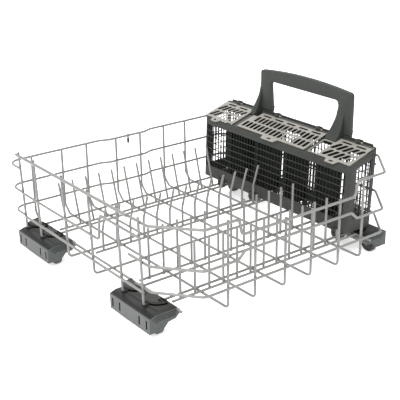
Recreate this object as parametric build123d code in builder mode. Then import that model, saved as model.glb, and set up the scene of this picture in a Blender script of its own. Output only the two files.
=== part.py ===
from build123d import *
import os
from math import atan, cos, sin, sqrt

os.makedirs("parts", exist_ok=True)

# Wire thicknesses and the small space left at each weld
wire_d = 3.6
rail_d = 4.9
tine_d = 3.3
weld_gap = 0.1

# Rack frame, measured to the centre lines of the wires
floor_z = 40.0
half_width = 261.0
rack_length = 540.8
side_lean = 0.03
back_recess = 8.0
length_xs = (30.0, 96.0, 153.0)
outer_length_inset = 41.0
outer_length_front = -227.6
cross_ys = (223.4, 164.4, 61.4, -27.6, -118.1, -180.6)
side_arm_top = 202.0
front_bend = 8.0
back_bend = 16.0
side_bend = 7.0

# Front rails
front_top_z = 192.0
front_top_dip_z = 164.0
front_middle_z = 122.0
front_middle_rise_z = 135.0
front_base_z = 76.5
dip_x = 127.0
dip_run = 9.0
rise_x = 121.0
rise_run = 14.0
corner_inset = 59.0
corner_y = -198.6
front_top_end = -141.6
front_middle_end = -138.6
front_base_end = -154.6

# Side rails
side_top_z = 198.0
side_top_ys = (225.4, -154.6)
side_middle_z = 122.0
side_middle_high_z = 170.0
side_step_ys = (-59.6, -68.6, -187.6)
side_low_z = 73.5
side_low_front = -185.6
side_rear_gap = 4.1

# Rear rails
rear_top_z = 171.7
rear_middle_z = 123.0
rear_low_z = 76.0
rear_recess_x = 44.0
rear_slant = 20.0
rear_corner = 42.0
rear_tail = 9.1

# Tine rows: floor rod, tines and how they lean
rod_inset = 46.5
tine_pitch = 30.2
tine_inset = 65.0
tine_foot = 0.6
row_1_y = 179.4
row_2_y = 44.4
row_3_y = -98.6
row_4_y = -195.6
row_1_top = 129.0
row_2_top = 130.0
row_3_top = 137.5
row_4_top = 136.0
row_1_lean = 23.0
row_2_lean = -15.0
row_2_bend = 0.45
stop_tine_top = 65.0
stub_low_z = 157.0
stub_high_z = 176.0

# Roller housings, wheels and wire clips
housing_reach = 15.0
housing_length = 117.0
rear_housing_shift = 10.5
front_housing_shift = 22.0
housing_low_z = 13.0
housing_face_rise = 1.0
housing_top_rise = 5.0
housing_slope = 12.0
wheel_inset = 11.0
wheel_r = 16.5
wheel_width = 12.0
wheel_sides = 20
wheel_offset = 39.5
axle_r = 2.5
axle_play = 0.08
wheel_room = 1.5
round_sides = 8
axle_cap = 1.4
face_slot_width = 3.0
face_slot_height = 15.0
face_slot_depth = 4.0
face_slot_offset = 10.5
wire_room = 0.4
clip_inset = 34.0
clip_reach = 25.0
clip_length = 46.0
clip_shift = 6.0
clip_thickness = 3.4
clip_post = 6.0

# Cutlery basket
basket_front_y = -199.6
basket_back_y = 229.4
basket_floor_rise = 14.0
basket_side_gap = 5.0
basket_width = 73.0
inner_draft = 6.0
outer_draft = 9.0
inner_rim_z = 187.0
top_slope = 0.3056
basket_wall = 2.5
basket_corner = 8.0
strip_height = 4.5
compartments = 5
side_columns = 11
side_rows = 3
grid_bar = 5.0
low_band = 30.0
rim_band = 16.0
end_post = 20.0
floor_columns = 6
foot_width = 22.0
foot_thickness = 6.0
foot_depth = 5.0

# Lids and hinge knobs
lid_thickness = 2.5
lid_gap = 0.2
lid_edge = 1.5
lid_end_gap = 1.0
hinge_inset = 5.5
hinge_rise = 2.6
hinge_r = 2.0
hinge_play = 0.08
knob_ys = (192.0, 68.0, -52.6, -160.0)
knob_width = 11.0
knob_side_room = 1.0
rear_lid_front = 137.4
middle_lid_ys = (-78.6, 121.4)
middle_hinge_back = 109.0
front_lid_back = -88.6
front_hinge_back = -117.6
lid_notch_inset = 20.5
window_y = -117.0
window_frame = 4.0
slot_width = 7.2
slot_length = 20.0
slot_insets = (15.0, 38.0)
middle_slot_pitch = 12.0
end_slot_pitch = 15.3
edge_slot_inset = 12.0
edge_slot_width = 5.0
edge_slot_length = 30.0
edge_slot_pitch = 36.0
tab_reach = 11.0
rear_tab_ys = (176.4, 201.4)
middle_tab_ys = (-2.6, 38.4)
front_tab_ys = (-169.6, -141.6)
tab_hole = (5.0, 8.0)

# Carrying handle
handle_inset = 3.6
handle_thickness = 10.0
handle_back_y = 138.0
handle_back_top_y = 128.0
handle_front_y = -131.6
open_back_y = 97.0
open_back_low_y = 92.0
open_front_y = -96.6
open_front_low_y = -80.0
handle_top_z = 305.0
handle_bow = 7.0
handle_grip = 28.0
handle_foot_z = 165.0
foot_plate = 3.5
gusset_drop = 15.0
gusset_room = 1.0

# Values that follow from the sizes above
wire_r = wire_d / 2
cross_z = floor_z + wire_d + weld_gap
rail_step = (wire_d + rail_d) / 2 + weld_gap
wire_step = wire_d + weld_gap
tine_step = (wire_d + tine_d) / 2 + weld_gap
rear_rail_y = rack_length / 2 - wire_r
back_arm_y = rear_rail_y - wire_step
rear_end_y = rear_rail_y - rear_corner - rear_tail
side_rear_y = rear_end_y - side_rear_gap
front_arm_y = rail_d / 2 - rack_length / 2 + rail_step
outer_length_x = half_width - outer_length_inset
corner_x = half_width - corner_inset
rod_half_length = half_width - rod_inset
tine_first_x = tine_inset - half_width
housing_x = half_width + housing_reach
housing_face_z = floor_z + housing_face_rise
housing_top_z = floor_z + housing_top_rise
rear_housing_y = cross_ys[1] + rear_housing_shift
front_housing_y = cross_ys[-1] + front_housing_shift
wheel_x = half_width - wheel_inset
clip_x = half_width - clip_inset
basket_floor_z = floor_z + basket_floor_rise
outer_rim_x = half_width - basket_side_gap
outer_foot_x = outer_rim_x - outer_draft
inner_rim_x = outer_rim_x - basket_width
inner_foot_x = inner_rim_x - inner_draft
rear_lid_ys = (rear_lid_front, basket_back_y - lid_end_gap)
front_lid_ys = (basket_front_y + lid_end_gap, front_lid_back)
basket_length = basket_back_y - basket_front_y
compartment_length = basket_length / compartments
partition_ys = [basket_front_y + i * compartment_length for i in range(1, compartments)]
hinge_x = outer_rim_x - hinge_inset
lid_inner_x = inner_rim_x + lid_edge
lid_notch_x = hinge_x - lid_notch_inset
slot_xs = [lid_inner_x + inset for inset in slot_insets]
edge_slot_x = hinge_x - edge_slot_inset
handle_in_x = outer_rim_x - handle_inset
handle_shoulder_z = handle_top_z - handle_bow
open_top_z = handle_top_z - handle_grip
gusset_z = open_top_z - gusset_drop


def arm_x(z):
    """Distance of the leaning side arms from the middle at a height."""
    return half_width + side_lean * (z - cross_z)


def mirrored(half):
    """Points of one half of a wire, followed by those of the other half."""
    return half + [(-x, y, z) for x, y, z in reversed(half)]


def bar(points, thickness, flat, sides=6):
    """Bent wire with mitred corners; one of its flats faces the direction given."""
    start = Vector(*points[0])
    along = Vector(*points[1]) - start
    with BuildPart() as solid:
        with BuildLine() as path:
            Polyline(*points)
        with BuildSketch(Plane(origin=start, x_dir=flat, z_dir=along)) as section:
            RegularPolygon(thickness / 2, sides, major_radius=False, rotation=180 / sides)
        sweep(sections=section.sketch, path=path.line, transition=Transition.RIGHT)
    return solid.part


def cross_plane(y):
    """Upright plane across the rack, with X to the right and Z up."""
    return Plane(origin=(0, y, 0), x_dir=(1, 0, 0), z_dir=(0, -1, 0))


# Length wires: a floor run with a front and a back arm; the outer two end free at the front
bars = []
for x in length_xs:
    rear_y = back_arm_y - (back_recess if x == min(length_xs) else 0)
    front_top = front_top_z if x == max(length_xs) else front_top_dip_z
    for side in (-1, 1):
        bars.append(bar([
            (side * x, front_arm_y, front_top + rail_d / 2),
            (side * x, front_arm_y, floor_z + front_bend),
            (side * x, front_arm_y + front_bend, floor_z),
            (side * x, rear_y - back_bend, floor_z),
            (side * x, rear_y, floor_z + back_bend),
            (side * x, rear_y, rear_top_z + wire_r)], wire_d, (0, 1, 0)))
for side in (-1, 1):
    bars.append(bar([
        (side * outer_length_x, outer_length_front, floor_z),
        (side * outer_length_x, back_arm_y - back_bend, floor_z),
        (side * outer_length_x, back_arm_y, floor_z + back_bend),
        (side * outer_length_x, back_arm_y, rear_top_z + wire_r)], wire_d, (0, 0, 1)))
with BuildPart() as length_wires:
    add(bars, clean=False)
length_wires.part.label = "length_wires"
export_step(length_wires.part, "parts/length_wires.step")

# Cross wires: wide U shapes with arms that lean outward
bars = []
for y in cross_ys:
    bars.append(bar(mirrored([
        (arm_x(side_arm_top), y, side_arm_top),
        (arm_x(cross_z + side_bend), y, cross_z + side_bend),
        (half_width - side_bend, y, cross_z)]), wire_d, (1, 0, -side_lean)))
with BuildPart() as cross_wires:
    add(bars, clean=False)
cross_wires.part.label = "cross_wires"
export_step(cross_wires.part, "parts/cross_wires.step")


def front_rail(height, end_y, thickness, turn=()):
    """Front rail with cut corners and free side ends; a turn gives the height of its middle."""
    side_x = arm_x(height) - (wire_d + thickness) / 2 - weld_gap
    rail_y = front_arm_y - (wire_d + thickness) / 2 - weld_gap
    half = [(-side_x, end_y, height), (-side_x, corner_y, height), (-corner_x, rail_y, height)]
    if turn:
        middle_height, turn_x, turn_run = turn
        half += [(-turn_x - turn_run, rail_y, height), (-turn_x, rail_y, middle_height)]
    return bar(mirrored(half), thickness, (1, 0, 0), 8 if turn else 6)


top_bar = front_rail(front_top_z, front_top_end, rail_d, (front_top_dip_z, dip_x, dip_run))
with BuildPart() as front_top_rail:
    add(top_bar)
front_top_rail.part.label = "front_top_rail"
export_step(front_top_rail.part, "parts/front_top_rail.step")

middle_bar = front_rail(front_middle_z, front_middle_end, rail_d, (front_middle_rise_z, rise_x, rise_run))
with BuildPart() as front_middle_rail:
    add(middle_bar)
front_middle_rail.part.label = "front_middle_rail"
export_step(front_middle_rail.part, "parts/front_middle_rail.step")

base_bar = front_rail(front_base_z, front_base_end, wire_d)
with BuildPart() as front_base_rail:
    add(base_bar)
front_base_rail.part.label = "front_base_rail"
export_step(front_base_rail.part, "parts/front_base_rail.step")


def rear_rail(height):
    """Rear rail with a recess in the middle and loops round both rear corners."""
    side_x = arm_x(height) + wire_step
    turn = rear_corner * (1 - sqrt(0.5))
    half = [(-side_x, rear_end_y, height),
            (-side_x, rear_rail_y - rear_corner, height),
            (-side_x + turn, rear_rail_y - turn, height),
            (-side_x + rear_corner, rear_rail_y, height),
            (-rear_recess_x - rear_slant, rear_rail_y, height),
            (-rear_recess_x, rear_rail_y - back_recess, height)]
    return bar(mirrored(half), wire_d, (1, 0, 0))


top_bar = rear_rail(rear_top_z)
with BuildPart() as rear_top_rail:
    add(top_bar)
rear_top_rail.part.label = "rear_top_rail"
export_step(rear_top_rail.part, "parts/rear_top_rail.step")

middle_bar = rear_rail(rear_middle_z)
with BuildPart() as rear_middle_rail:
    add(middle_bar)
rear_middle_rail.part.label = "rear_middle_rail"
export_step(rear_middle_rail.part, "parts/rear_middle_rail.step")

low_bar = rear_rail(rear_low_z)
with BuildPart() as rear_low_rail:
    add(low_bar)
rear_low_rail.part.label = "rear_low_rail"
export_step(rear_low_rail.part, "parts/rear_low_rail.step")

# Hanging stub in the recess of the rear top rail
stub_y = rear_rail_y - back_recess - tine_step
stub_bar = bar([(0, stub_y, stub_low_z), (0, stub_y, stub_high_z)], tine_d, (0, 1, 0))
with BuildPart() as rear_stub:
    add(stub_bar)
rear_stub.part.label = "rear_stub"
export_step(rear_stub.part, "parts/rear_stub.step")

# Side rails, outside the leaning arms
bars = []
for side in (-1, 1):
    x = side * (arm_x(side_top_z) + rail_step)
    bars.append(bar([(x, y, side_top_z) for y in side_top_ys], rail_d, (1, 0, 0), 8))
with BuildPart() as side_top_rails:
    add(bars)
side_top_rails.part.label = "side_top_rails"
export_step(side_top_rails.part, "parts/side_top_rails.step")

bars = []
side_middle_ys = (side_rear_y, *side_step_ys)
side_middle_zs = (side_middle_z, side_middle_z, side_middle_high_z, side_middle_high_z)
for side in (-1, 1):
    points = [(side * (arm_x(z) + wire_step), y, z) for y, z in zip(side_middle_ys, side_middle_zs)]
    bars.append(bar(points, wire_d, (1, 0, -side * side_lean)))
with BuildPart() as side_middle_rails:
    add(bars)
side_middle_rails.part.label = "side_middle_rails"
export_step(side_middle_rails.part, "parts/side_middle_rails.step")

bars = []
for side in (-1, 1):
    x = side * (arm_x(side_low_z) + wire_step)
    bars.append(bar([(x, y, side_low_z) for y in (side_rear_y, side_low_front)], wire_d, (1, 0, 0)))
with BuildPart() as side_low_rails:
    add(bars)
side_low_rails.part.label = "side_low_rails"
export_step(side_low_rails.part, "parts/side_low_rails.step")

# Tine rows: a rod on the floor with tines welded to one of its sides
foot_z = cross_z - wire_r + tine_foot


def rod(y):
    """Floor rod that carries a row of tines."""
    return bar([(-rod_half_length, y, cross_z), (rod_half_length, y, cross_z)], wire_d, (0, 0, 1), 8)


def tine(top, lean=0.0, bend=0.0):
    """One tine at the middle of the rack; a bend keeps its lower part upright."""
    points = [(0, 0, foot_z), (0, lean, top)]
    if bend:
        points.insert(1, (0, 0, foot_z + bend * (top - foot_z)))
        return bar(points, tine_d, (0, 1, 0))
    return bar(points, tine_d, (0, top - foot_z, -lean))


def tine_places(rod_y, weld_side, count):
    """Feet of the tines of one row."""
    return [(tine_first_x + i * tine_pitch, rod_y + weld_side * tine_step, 0) for i in range(count)]


row_rod = rod(row_1_y)
row_tine = tine(row_1_top, row_1_lean)
with BuildPart() as tine_row_1:
    add(row_rod)
    with Locations(*tine_places(row_1_y, 1, 13)):
        add(row_tine, clean=False)
tine_row_1.part.label = "tine_row_1"
export_step(tine_row_1.part, "parts/tine_row_1.step")

row_rod = rod(row_2_y)
row_tine = tine(row_2_top, row_2_lean, row_2_bend)
with BuildPart() as tine_row_2:
    add(row_rod)
    with Locations(*tine_places(row_2_y, 1, 13)):
        add(row_tine, clean=False)
tine_row_2.part.label = "tine_row_2"
export_step(tine_row_2.part, "parts/tine_row_2.step")

row_rod = rod(row_3_y)
row_tine = tine(row_3_top)
with BuildPart() as tine_row_3:
    add(row_rod)
    with Locations(*tine_places(row_3_y, -1, 12)):
        add(row_tine, clean=False)
tine_row_3.part.label = "tine_row_3"
export_step(tine_row_3.part, "parts/tine_row_3.step")

# The front row ends with a short stop beside the basket
row_rod = rod(row_4_y)
row_tine = tine(row_4_top)
stop_tine = tine(stop_tine_top)
row_places = tine_places(row_4_y, 1, 13)
with BuildPart() as tine_row_4:
    add(row_rod)
    with Locations(*row_places[:-1]):
        add(row_tine, clean=False)
    with Locations(row_places[-1]):
        add(stop_tine, clean=False)
tine_row_4.part.label = "tine_row_4"
export_step(tine_row_4.part, "parts/tine_row_4.step")

# Roller housings with stub axles, wire clips and wheels
groove = wire_r + wire_room
groove_in = housing_x - outer_length_x - groove
groove_out = housing_x - outer_length_x + groove
wheel_in = housing_x - wheel_x + wheel_width / 2
housing_profile = (
    (0, housing_low_z), (0, housing_face_z), (housing_slope, housing_top_z),
    (groove_in, housing_top_z), (groove_in, floor_z - groove), (groove_out, floor_z - groove),
    (groove_out, floor_z + wire_room), (groove_out + basket_wall, floor_z + wire_room),
    (groove_out + basket_wall, floor_z - groove - 4), (groove_in - 2, housing_low_z + 13),
    (wheel_in + 5, housing_low_z + 11), (wheel_in - 4, housing_low_z + 1.5), (wheel_in - 10, housing_low_z))
pocket_out = wheel_x + wheel_width / 2 + wheel_room
pocket_in = wheel_x - wheel_width / 2 - wheel_room - 2 * axle_cap
pocket = 2 * (wheel_r + wheel_room)
channel = half_width + wire_r + 2 * wire_room
clip_z = cross_z + wire_r + wire_room
clip_outline = (
    (0, -0.5), (0, 0.5), (0.4, 0.46), (0.75, 0.34), (1, 0.12), (1, -0.12), (0.75, -0.34), (0.4, -0.46))
places = (("rear", rear_housing_y, cross_ys[:2]), ("front", front_housing_y, cross_ys[-2:]))
for end, mid_y, held_ys in places:
    for hand, side in (("left", -1), ("right", 1)):
        wheel_ys = (mid_y + wheel_offset, mid_y - wheel_offset)
        with BuildPart() as roller_housing:
            with BuildSketch(cross_plane(mid_y)):
                Polygon(*[(side * (housing_x - u), z) for u, z in housing_profile], align=None)
            extrude(amount=housing_length / 2, both=True)
            # Wheel pockets, open below and toward the middle of the rack
            with Locations(*[(side * (pocket_out + pocket_in) / 2, y, wheel_r) for y in wheel_ys]):
                Box(pocket_out - pocket_in, pocket, pocket, mode=Mode.SUBTRACT)
            # Channels for the cross wires that the housing carries
            with Locations(*[(side * channel / 2, y, cross_z - groove) for y in held_ys]):
                Box(channel, 2 * groove, housing_top_z, align=(Align.CENTER, Align.CENTER, Align.MIN),
                    mode=Mode.SUBTRACT)
            # Upright slots in the outer face beside each wheel
            slot_ys = [y + s * face_slot_offset for y in wheel_ys for s in (-1, 1)]
            with Locations(*[(side * housing_x, y, (housing_low_z + housing_face_z) / 2) for y in slot_ys]):
                Box(2 * face_slot_depth, face_slot_width, face_slot_height, mode=Mode.SUBTRACT)
            # Stub axles with a retaining cap at the free end
            axle_length = wheel_width + 2 * wheel_room
            with BuildSketch(Plane.YZ.offset(side * pocket_out)):
                with Locations(*[(y, wheel_r) for y in wheel_ys]):
                    Circle(axle_r)
            extrude(amount=-side * axle_length)
            with BuildSketch(Plane.YZ.offset(side * (pocket_out - axle_length))):
                with Locations(*[(y, wheel_r) for y in wheel_ys]):
                    RegularPolygon(axle_r + axle_cap, round_sides)
            extrude(amount=-side * axle_cap)
        roller_housing.part.label = f"housing_{end}_{hand}"
        export_step(roller_housing.part, f"parts/housing_{end}_{hand}.step")

        # Half-round clips over the wires, each on a post at both sides of its wire
        with BuildPart() as wire_clips:
            for y in held_ys:
                with BuildSketch(Plane.XY.offset(clip_z)):
                    Polygon(*[(side * (clip_x + a * clip_reach), y + clip_shift + b * clip_length)
                              for a, b in clip_outline], align=None)
                extrude(amount=clip_thickness)
                post_x = side * (clip_x + clip_reach / 2)
                post_y = groove + clip_post
                with Locations(*[(post_x, y + s * post_y, housing_top_z) for s in (-1, 1)]):
                    Box(clip_post, clip_post, clip_z - housing_top_z,
                        align=(Align.CENTER, Align.CENTER, Align.MIN))
        wire_clips.part.label = f"wire_clips_{end}_{hand}"
        export_step(wire_clips.part, f"parts/wire_clips_{end}_{hand}.step")

        for number, y in zip((1, 2), wheel_ys):
            with BuildPart() as wheel:
                with BuildSketch(Plane.YZ.offset(side * wheel_x)):
                    with Locations((y, wheel_r)):
                        RegularPolygon(wheel_r, wheel_sides, rotation=-90)
                        RegularPolygon(axle_r + axle_play, round_sides, major_radius=False,
                                       mode=Mode.SUBTRACT)
                extrude(amount=wheel_width / 2, both=True)
            wheel.part.label = f"wheel_{end}_{hand}_{number}"
            export_step(wheel.part, f"parts/wheel_{end}_{hand}_{number}.step")

# Cutlery basket
tilt = atan(top_slope)
outer_rim_z = inner_rim_z + top_slope * (outer_rim_x - inner_rim_x)
basket_mid_y = (basket_front_y + basket_back_y) / 2
rim_plane = Plane(origin=(inner_rim_x, 0, inner_rim_z), x_dir=(cos(tilt), 0, sin(tilt)),
                  z_dir=(-sin(tilt), 0, cos(tilt)))


def inner_x(z):
    """Outside of the basket's wall that faces the dishes."""
    return inner_foot_x + (inner_rim_x - inner_foot_x) * (z - basket_floor_z) / (inner_rim_z - basket_floor_z)


def outer_x(z):
    """Outside of the basket's wall that faces the rack's side."""
    return outer_foot_x + (outer_rim_x - outer_foot_x) * (z - basket_floor_z) / (outer_rim_z - basket_floor_z)


def rim_z(x):
    """Height of the sloping rim plane."""
    return inner_rim_z + top_slope * (x - inner_rim_x)


def along_rim(x):
    """Distance up the sloping rim plane for a place across the rack."""
    return (x - inner_rim_x) / cos(tilt)


def hinge_plane(y):
    """Upright plane across the hinge, with its axes along and square to the rim plane."""
    return Plane(origin=(inner_rim_x, y, inner_rim_z), x_dir=rim_plane.x_dir, z_dir=(0, -1, 0))


def basket_block(inset):
    """Tapered block of the basket with cut corners, made smaller on all sides by an inset."""
    low = basket_floor_z + inset
    high = outer_rim_z + handle_top_z * (inset > 0)
    profile = [(inner_x(low) + inset, low), (outer_x(low) - inset, low), (outer_x(high) - inset, high)]
    profile.append((inner_x(high) + inset, high) if inset else (inner_rim_x, inner_rim_z))
    with BuildPart() as block:
        with BuildSketch(cross_plane(basket_mid_y)):
            Polygon(*profile, align=None)
        extrude(amount=basket_length / 2 - inset, both=True)
        upright = block.edges().filter_by(lambda e: abs(e.tangent_at(0.5).Z) > 0.9)
        chamfer(upright, length=basket_corner - inset * (2 - sqrt(2)))
    return block.part


hinge_u = along_rim(hinge_x)
wall_u = along_rim(outer_rim_x - basket_wall)
rim_u = along_rim(outer_rim_x)
row_low_z = basket_floor_z + low_band
inner_high_z = inner_rim_z - rim_band
outer_high_z = outer_rim_z - rim_band
side_pitch = (basket_length - 2 * basket_corner - grid_bar) / side_columns
shell = basket_block(0)
hollow = basket_block(basket_wall)
rear_gap = (middle_lid_ys[1] + gusset_room, rear_lid_ys[0] - gusset_room)
front_gap = (front_lid_ys[1] + gusset_room, middle_lid_ys[0] - gusset_room)
with BuildPart() as cutlery_basket:
    add(shell)
    add(hollow, mode=Mode.SUBTRACT)
    # Grid windows in the two long walls, the end walls and the floor
    for wall_x, high in ((inner_foot_x, inner_high_z), (outer_rim_x, outer_high_z)):
        row_pitch = (high - row_low_z + grid_bar) / side_rows
        with BuildSketch(Plane.YZ.offset(wall_x)):
            with Locations((basket_mid_y, (high + row_low_z) / 2)):
                with GridLocations(side_pitch, row_pitch, side_columns, side_rows):
                    Rectangle(side_pitch - grid_bar, row_pitch - grid_bar)
        extrude(amount=(outer_rim_x - inner_rim_x) / 4, both=True, mode=Mode.SUBTRACT)
    end_low = inner_rim_x + end_post
    end_high = outer_foot_x - basket_corner / 2
    end_pitch = (end_high - end_low + grid_bar) / 2
    row_pitch = (inner_high_z - row_low_z + grid_bar) / side_rows
    with BuildSketch(cross_plane(basket_mid_y)):
        with Locations(((end_low + end_high) / 2, (inner_high_z + row_low_z) / 2)):
            with GridLocations(end_pitch, row_pitch, 2, side_rows):
                Rectangle(end_pitch - grid_bar, row_pitch - grid_bar)
    extrude(amount=basket_length, both=True, mode=Mode.SUBTRACT)
    floor_width = (outer_foot_x - inner_foot_x) / 2 - grid_bar
    floor_pitch = (basket_length - 2 * basket_corner) / floor_columns
    with BuildSketch(Plane.XY.offset(basket_floor_z)):
        with Locations(((inner_foot_x + outer_foot_x) / 2, basket_mid_y)):
            with GridLocations(floor_width + grid_bar / 2, floor_pitch, 2, floor_columns):
                Rectangle(floor_width - grid_bar / 2, floor_pitch - grid_bar)
    extrude(amount=basket_wall, both=True, mode=Mode.SUBTRACT)
    # Partitions, and the rim's crossbars between the lids and under the handle
    edge = basket_wall / 2
    for part_y in partition_ys:
        low = basket_floor_z + edge
        with BuildSketch(cross_plane(part_y)):
            Polygon((inner_x(low) + edge, low), (outer_x(low) - edge, low),
                    (outer_x(outer_rim_z) - edge, outer_rim_z - edge),
                    (inner_rim_x + edge, inner_rim_z - edge), align=None)
        extrude(amount=edge, both=True)
    notch_u = along_rim(lid_notch_x + gusset_room)
    bridges = ((edge, *rear_gap), (edge, *front_gap), (notch_u, front_hinge_back + gusset_room, front_gap[1]))
    for u, low_y, high_y in bridges:
        with BuildSketch(rim_plane):
            with Locations(((u + rim_u - edge) / 2, (low_y + high_y) / 2)):
                Rectangle(rim_u - edge - u, high_y - low_y)
        extrude(amount=-basket_wall)
    # Raised strip along the outer rim
    with BuildSketch(rim_plane):
        with Locations(((wall_u + rim_u) / 2, basket_mid_y)):
            Rectangle(rim_u - wall_u, basket_length - 2 * basket_corner)
    extrude(amount=strip_height)
    # Hinge knobs: open-topped bearings for the rods of the lids
    for y in knob_ys:
        with BuildSketch(hinge_plane(y)):
            Polygon((hinge_u - 2 * hinge_r, hinge_rise - 2 * hinge_r),
                    (hinge_u - 2 * hinge_r, hinge_rise + 2 * hinge_r),
                    (hinge_u + hinge_r, hinge_rise + 2 * hinge_r), (rim_u, strip_height),
                    (rim_u, -knob_width), (wall_u, -knob_width), align=None)
        extrude(amount=knob_width / 2, both=True)
        with BuildSketch(hinge_plane(y)):
            with Locations((hinge_u, hinge_rise)):
                RegularPolygon(hinge_r + hinge_play, round_sides, major_radius=False)
            with Locations((hinge_u, hinge_rise + 2 * hinge_r)):
                Rectangle(1.6 * hinge_r, 4 * hinge_r)
        extrude(amount=knob_width, both=True, mode=Mode.SUBTRACT)
    # Lobed feet that straddle the cross wires beside the dishes, and plain feet at the other side
    seat_z = cross_z + wire_r + weld_gap
    foot_top = basket_floor_z + 2 * basket_wall
    foot_low = seat_z - foot_depth
    half_foot = foot_width / 2
    for y in (cross_ys[1], cross_ys[2], cross_ys[-1]):
        with BuildSketch(Plane.YZ.offset(inner_foot_x + basket_wall - foot_thickness)):
            Polygon((y - half_foot, foot_top), (y - half_foot, seat_z), (y - half_foot / 2, foot_low),
                    (y + half_foot / 2, foot_low), (y + half_foot, seat_z), (y + half_foot, foot_top),
                    align=None)
            with Locations((y, seat_z)):
                Rectangle(2 * groove, 2 * foot_depth, align=(Align.CENTER, Align.MAX), mode=Mode.SUBTRACT)
        extrude(amount=foot_thickness)
    with Locations(*[(outer_foot_x - foot_thickness, y, seat_z) for y in cross_ys[2:4]]):
        Box(foot_thickness, half_foot, foot_top - seat_z, align=(Align.CENTER, Align.CENTER, Align.MIN))
cutlery_basket.part.label = "cutlery_basket"
export_step(cutlery_basket.part, "parts/cutlery_basket.step")

# Lids
lid_plane = rim_plane.offset(lid_gap)
lid_u = along_rim(lid_inner_x)
lid_notch_u = along_rim(lid_notch_x)


def slot_places(x, low_y, high_y, pitch, limit):
    """Centres of a row of slots, evenly spread between two ends and stopping at a limit."""
    count = int((high_y - low_y - slot_width) / pitch)
    first = (low_y + high_y) / 2 - (count - 1) * pitch / 2
    rows = [first + i * pitch for i in range(count)]
    return [(along_rim(x), y) for y in rows if y < limit]


def lid(ys, hinge_back, slots_back, pitch, edge_count, knobs, tab_ys):
    """Lid with two rows of slots, slots along the hinge, a finger tab and hinge rods."""
    low_y, high_y = ys
    tab_y = (tab_ys[0] + tab_ys[1]) / 2
    room = knob_width / 2 + knob_side_room
    hinge_mid = (low_y + hinge_back) / 2
    edge_ys = [hinge_mid + (i - (edge_count - 1) / 2) * edge_slot_pitch for i in range(edge_count)]
    outline = [(lid_u, low_y), (hinge_u, low_y), (hinge_u, hinge_back), (lid_notch_u, hinge_back)]
    if hinge_back != high_y:
        outline.append((lid_notch_u, high_y))
    outline.append((lid_u, high_y))
    with BuildPart() as plate:
        with BuildSketch(lid_plane):
            Polygon(*outline, align=None)
            with Locations((lid_u - tab_reach / 2 + edge, tab_y)):
                Rectangle(tab_reach + 2 * edge, tab_ys[1] - tab_ys[0])
            with Locations((lid_u - tab_reach / 2, tab_y)):
                Rectangle(*tab_hole, mode=Mode.SUBTRACT)
            for x, limit in zip(slot_xs, (high_y, hinge_back - slot_width)):
                with Locations(*slot_places(x, low_y, slots_back, pitch, limit)):
                    Rectangle(slot_length, slot_width, mode=Mode.SUBTRACT)
            with Locations(*[(along_rim(edge_slot_x), y) for y in edge_ys]):
                Rectangle(edge_slot_width, edge_slot_length, mode=Mode.SUBTRACT)
            with Locations(*[(hinge_u, y) for y in knobs]):
                Rectangle(6.5 * hinge_r, 2 * room, mode=Mode.SUBTRACT)
            if slots_back != high_y:
                with Locations(((lid_u + lid_notch_u) / 2, (slots_back + high_y) / 2)):
                    Rectangle(lid_notch_u - lid_u - 2 * window_frame, high_y - slots_back - window_frame,
                              mode=Mode.SUBTRACT)
        extrude(amount=lid_thickness)
        for y in knobs:
            with BuildSketch(hinge_plane(y)):
                with Locations((hinge_u, hinge_rise)):
                    Circle(hinge_r)
            extrude(amount=room + hinge_r, both=True)
    return plate.part


rear_plate = lid(rear_lid_ys, rear_lid_ys[1], rear_lid_ys[1], end_slot_pitch, 2, knob_ys[:1], rear_tab_ys)
with BuildPart() as lid_rear:
    add(rear_plate)
lid_rear.part.label = "lid_rear"
export_step(lid_rear.part, "parts/lid_rear.step")

middle_plate = lid(middle_lid_ys, middle_hinge_back, middle_lid_ys[1], middle_slot_pitch, 5, knob_ys[1:3],
                   middle_tab_ys)
with BuildPart() as lid_middle:
    add(middle_plate)
lid_middle.part.label = "lid_middle"
export_step(lid_middle.part, "parts/lid_middle.step")

front_plate = lid(front_lid_ys, front_hinge_back, window_y, end_slot_pitch, 2, knob_ys[3:], front_tab_ys)
with BuildPart() as lid_front:
    add(front_plate)
lid_front.part.label = "lid_front"
export_step(lid_front.part, "parts/lid_front.step")

# Carrying handle: a bowed bar on two flared legs, clipped over the outer wall of the basket
leg_z = outer_rim_z + strip_height
handle_out_x = handle_in_x + handle_thickness
bar_mid = (handle_back_top_y + handle_front_y) / 2
leg_mid_z = (leg_z + open_top_z) / 2
with BuildSketch(Plane.YZ) as arch:
    with BuildLine():
        Line((handle_back_y, handle_foot_z), (handle_back_y, leg_z))
        ThreePointArc((handle_back_y, leg_z), (handle_back_top_y + 2, leg_mid_z),
                      (handle_back_top_y, handle_shoulder_z - handle_bow))
        Line((handle_back_top_y, handle_shoulder_z - handle_bow),
             (handle_back_top_y - handle_bow, handle_shoulder_z))
        ThreePointArc((handle_back_top_y - handle_bow, handle_shoulder_z), (bar_mid, handle_top_z),
                      (handle_front_y + handle_bow, handle_shoulder_z))
        Polyline((handle_front_y + handle_bow, handle_shoulder_z),
                 (handle_front_y, handle_shoulder_z - handle_bow), (handle_front_y, handle_foot_z),
                 (open_front_low_y, handle_foot_z), (open_front_low_y, leg_z))
        ThreePointArc((open_front_low_y, leg_z), ((open_front_y + open_front_low_y) / 2 - 4, leg_mid_z),
                      (open_front_y, open_top_z - handle_bow))
        Polyline((open_front_y, open_top_z - handle_bow), (open_front_y + handle_bow, open_top_z),
                 (open_back_y - handle_bow, open_top_z), (open_back_y, open_top_z - handle_bow),
                 (open_back_low_y, leg_z), (open_back_low_y, handle_foot_z),
                 (handle_back_y, handle_foot_z))
    make_face()

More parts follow.
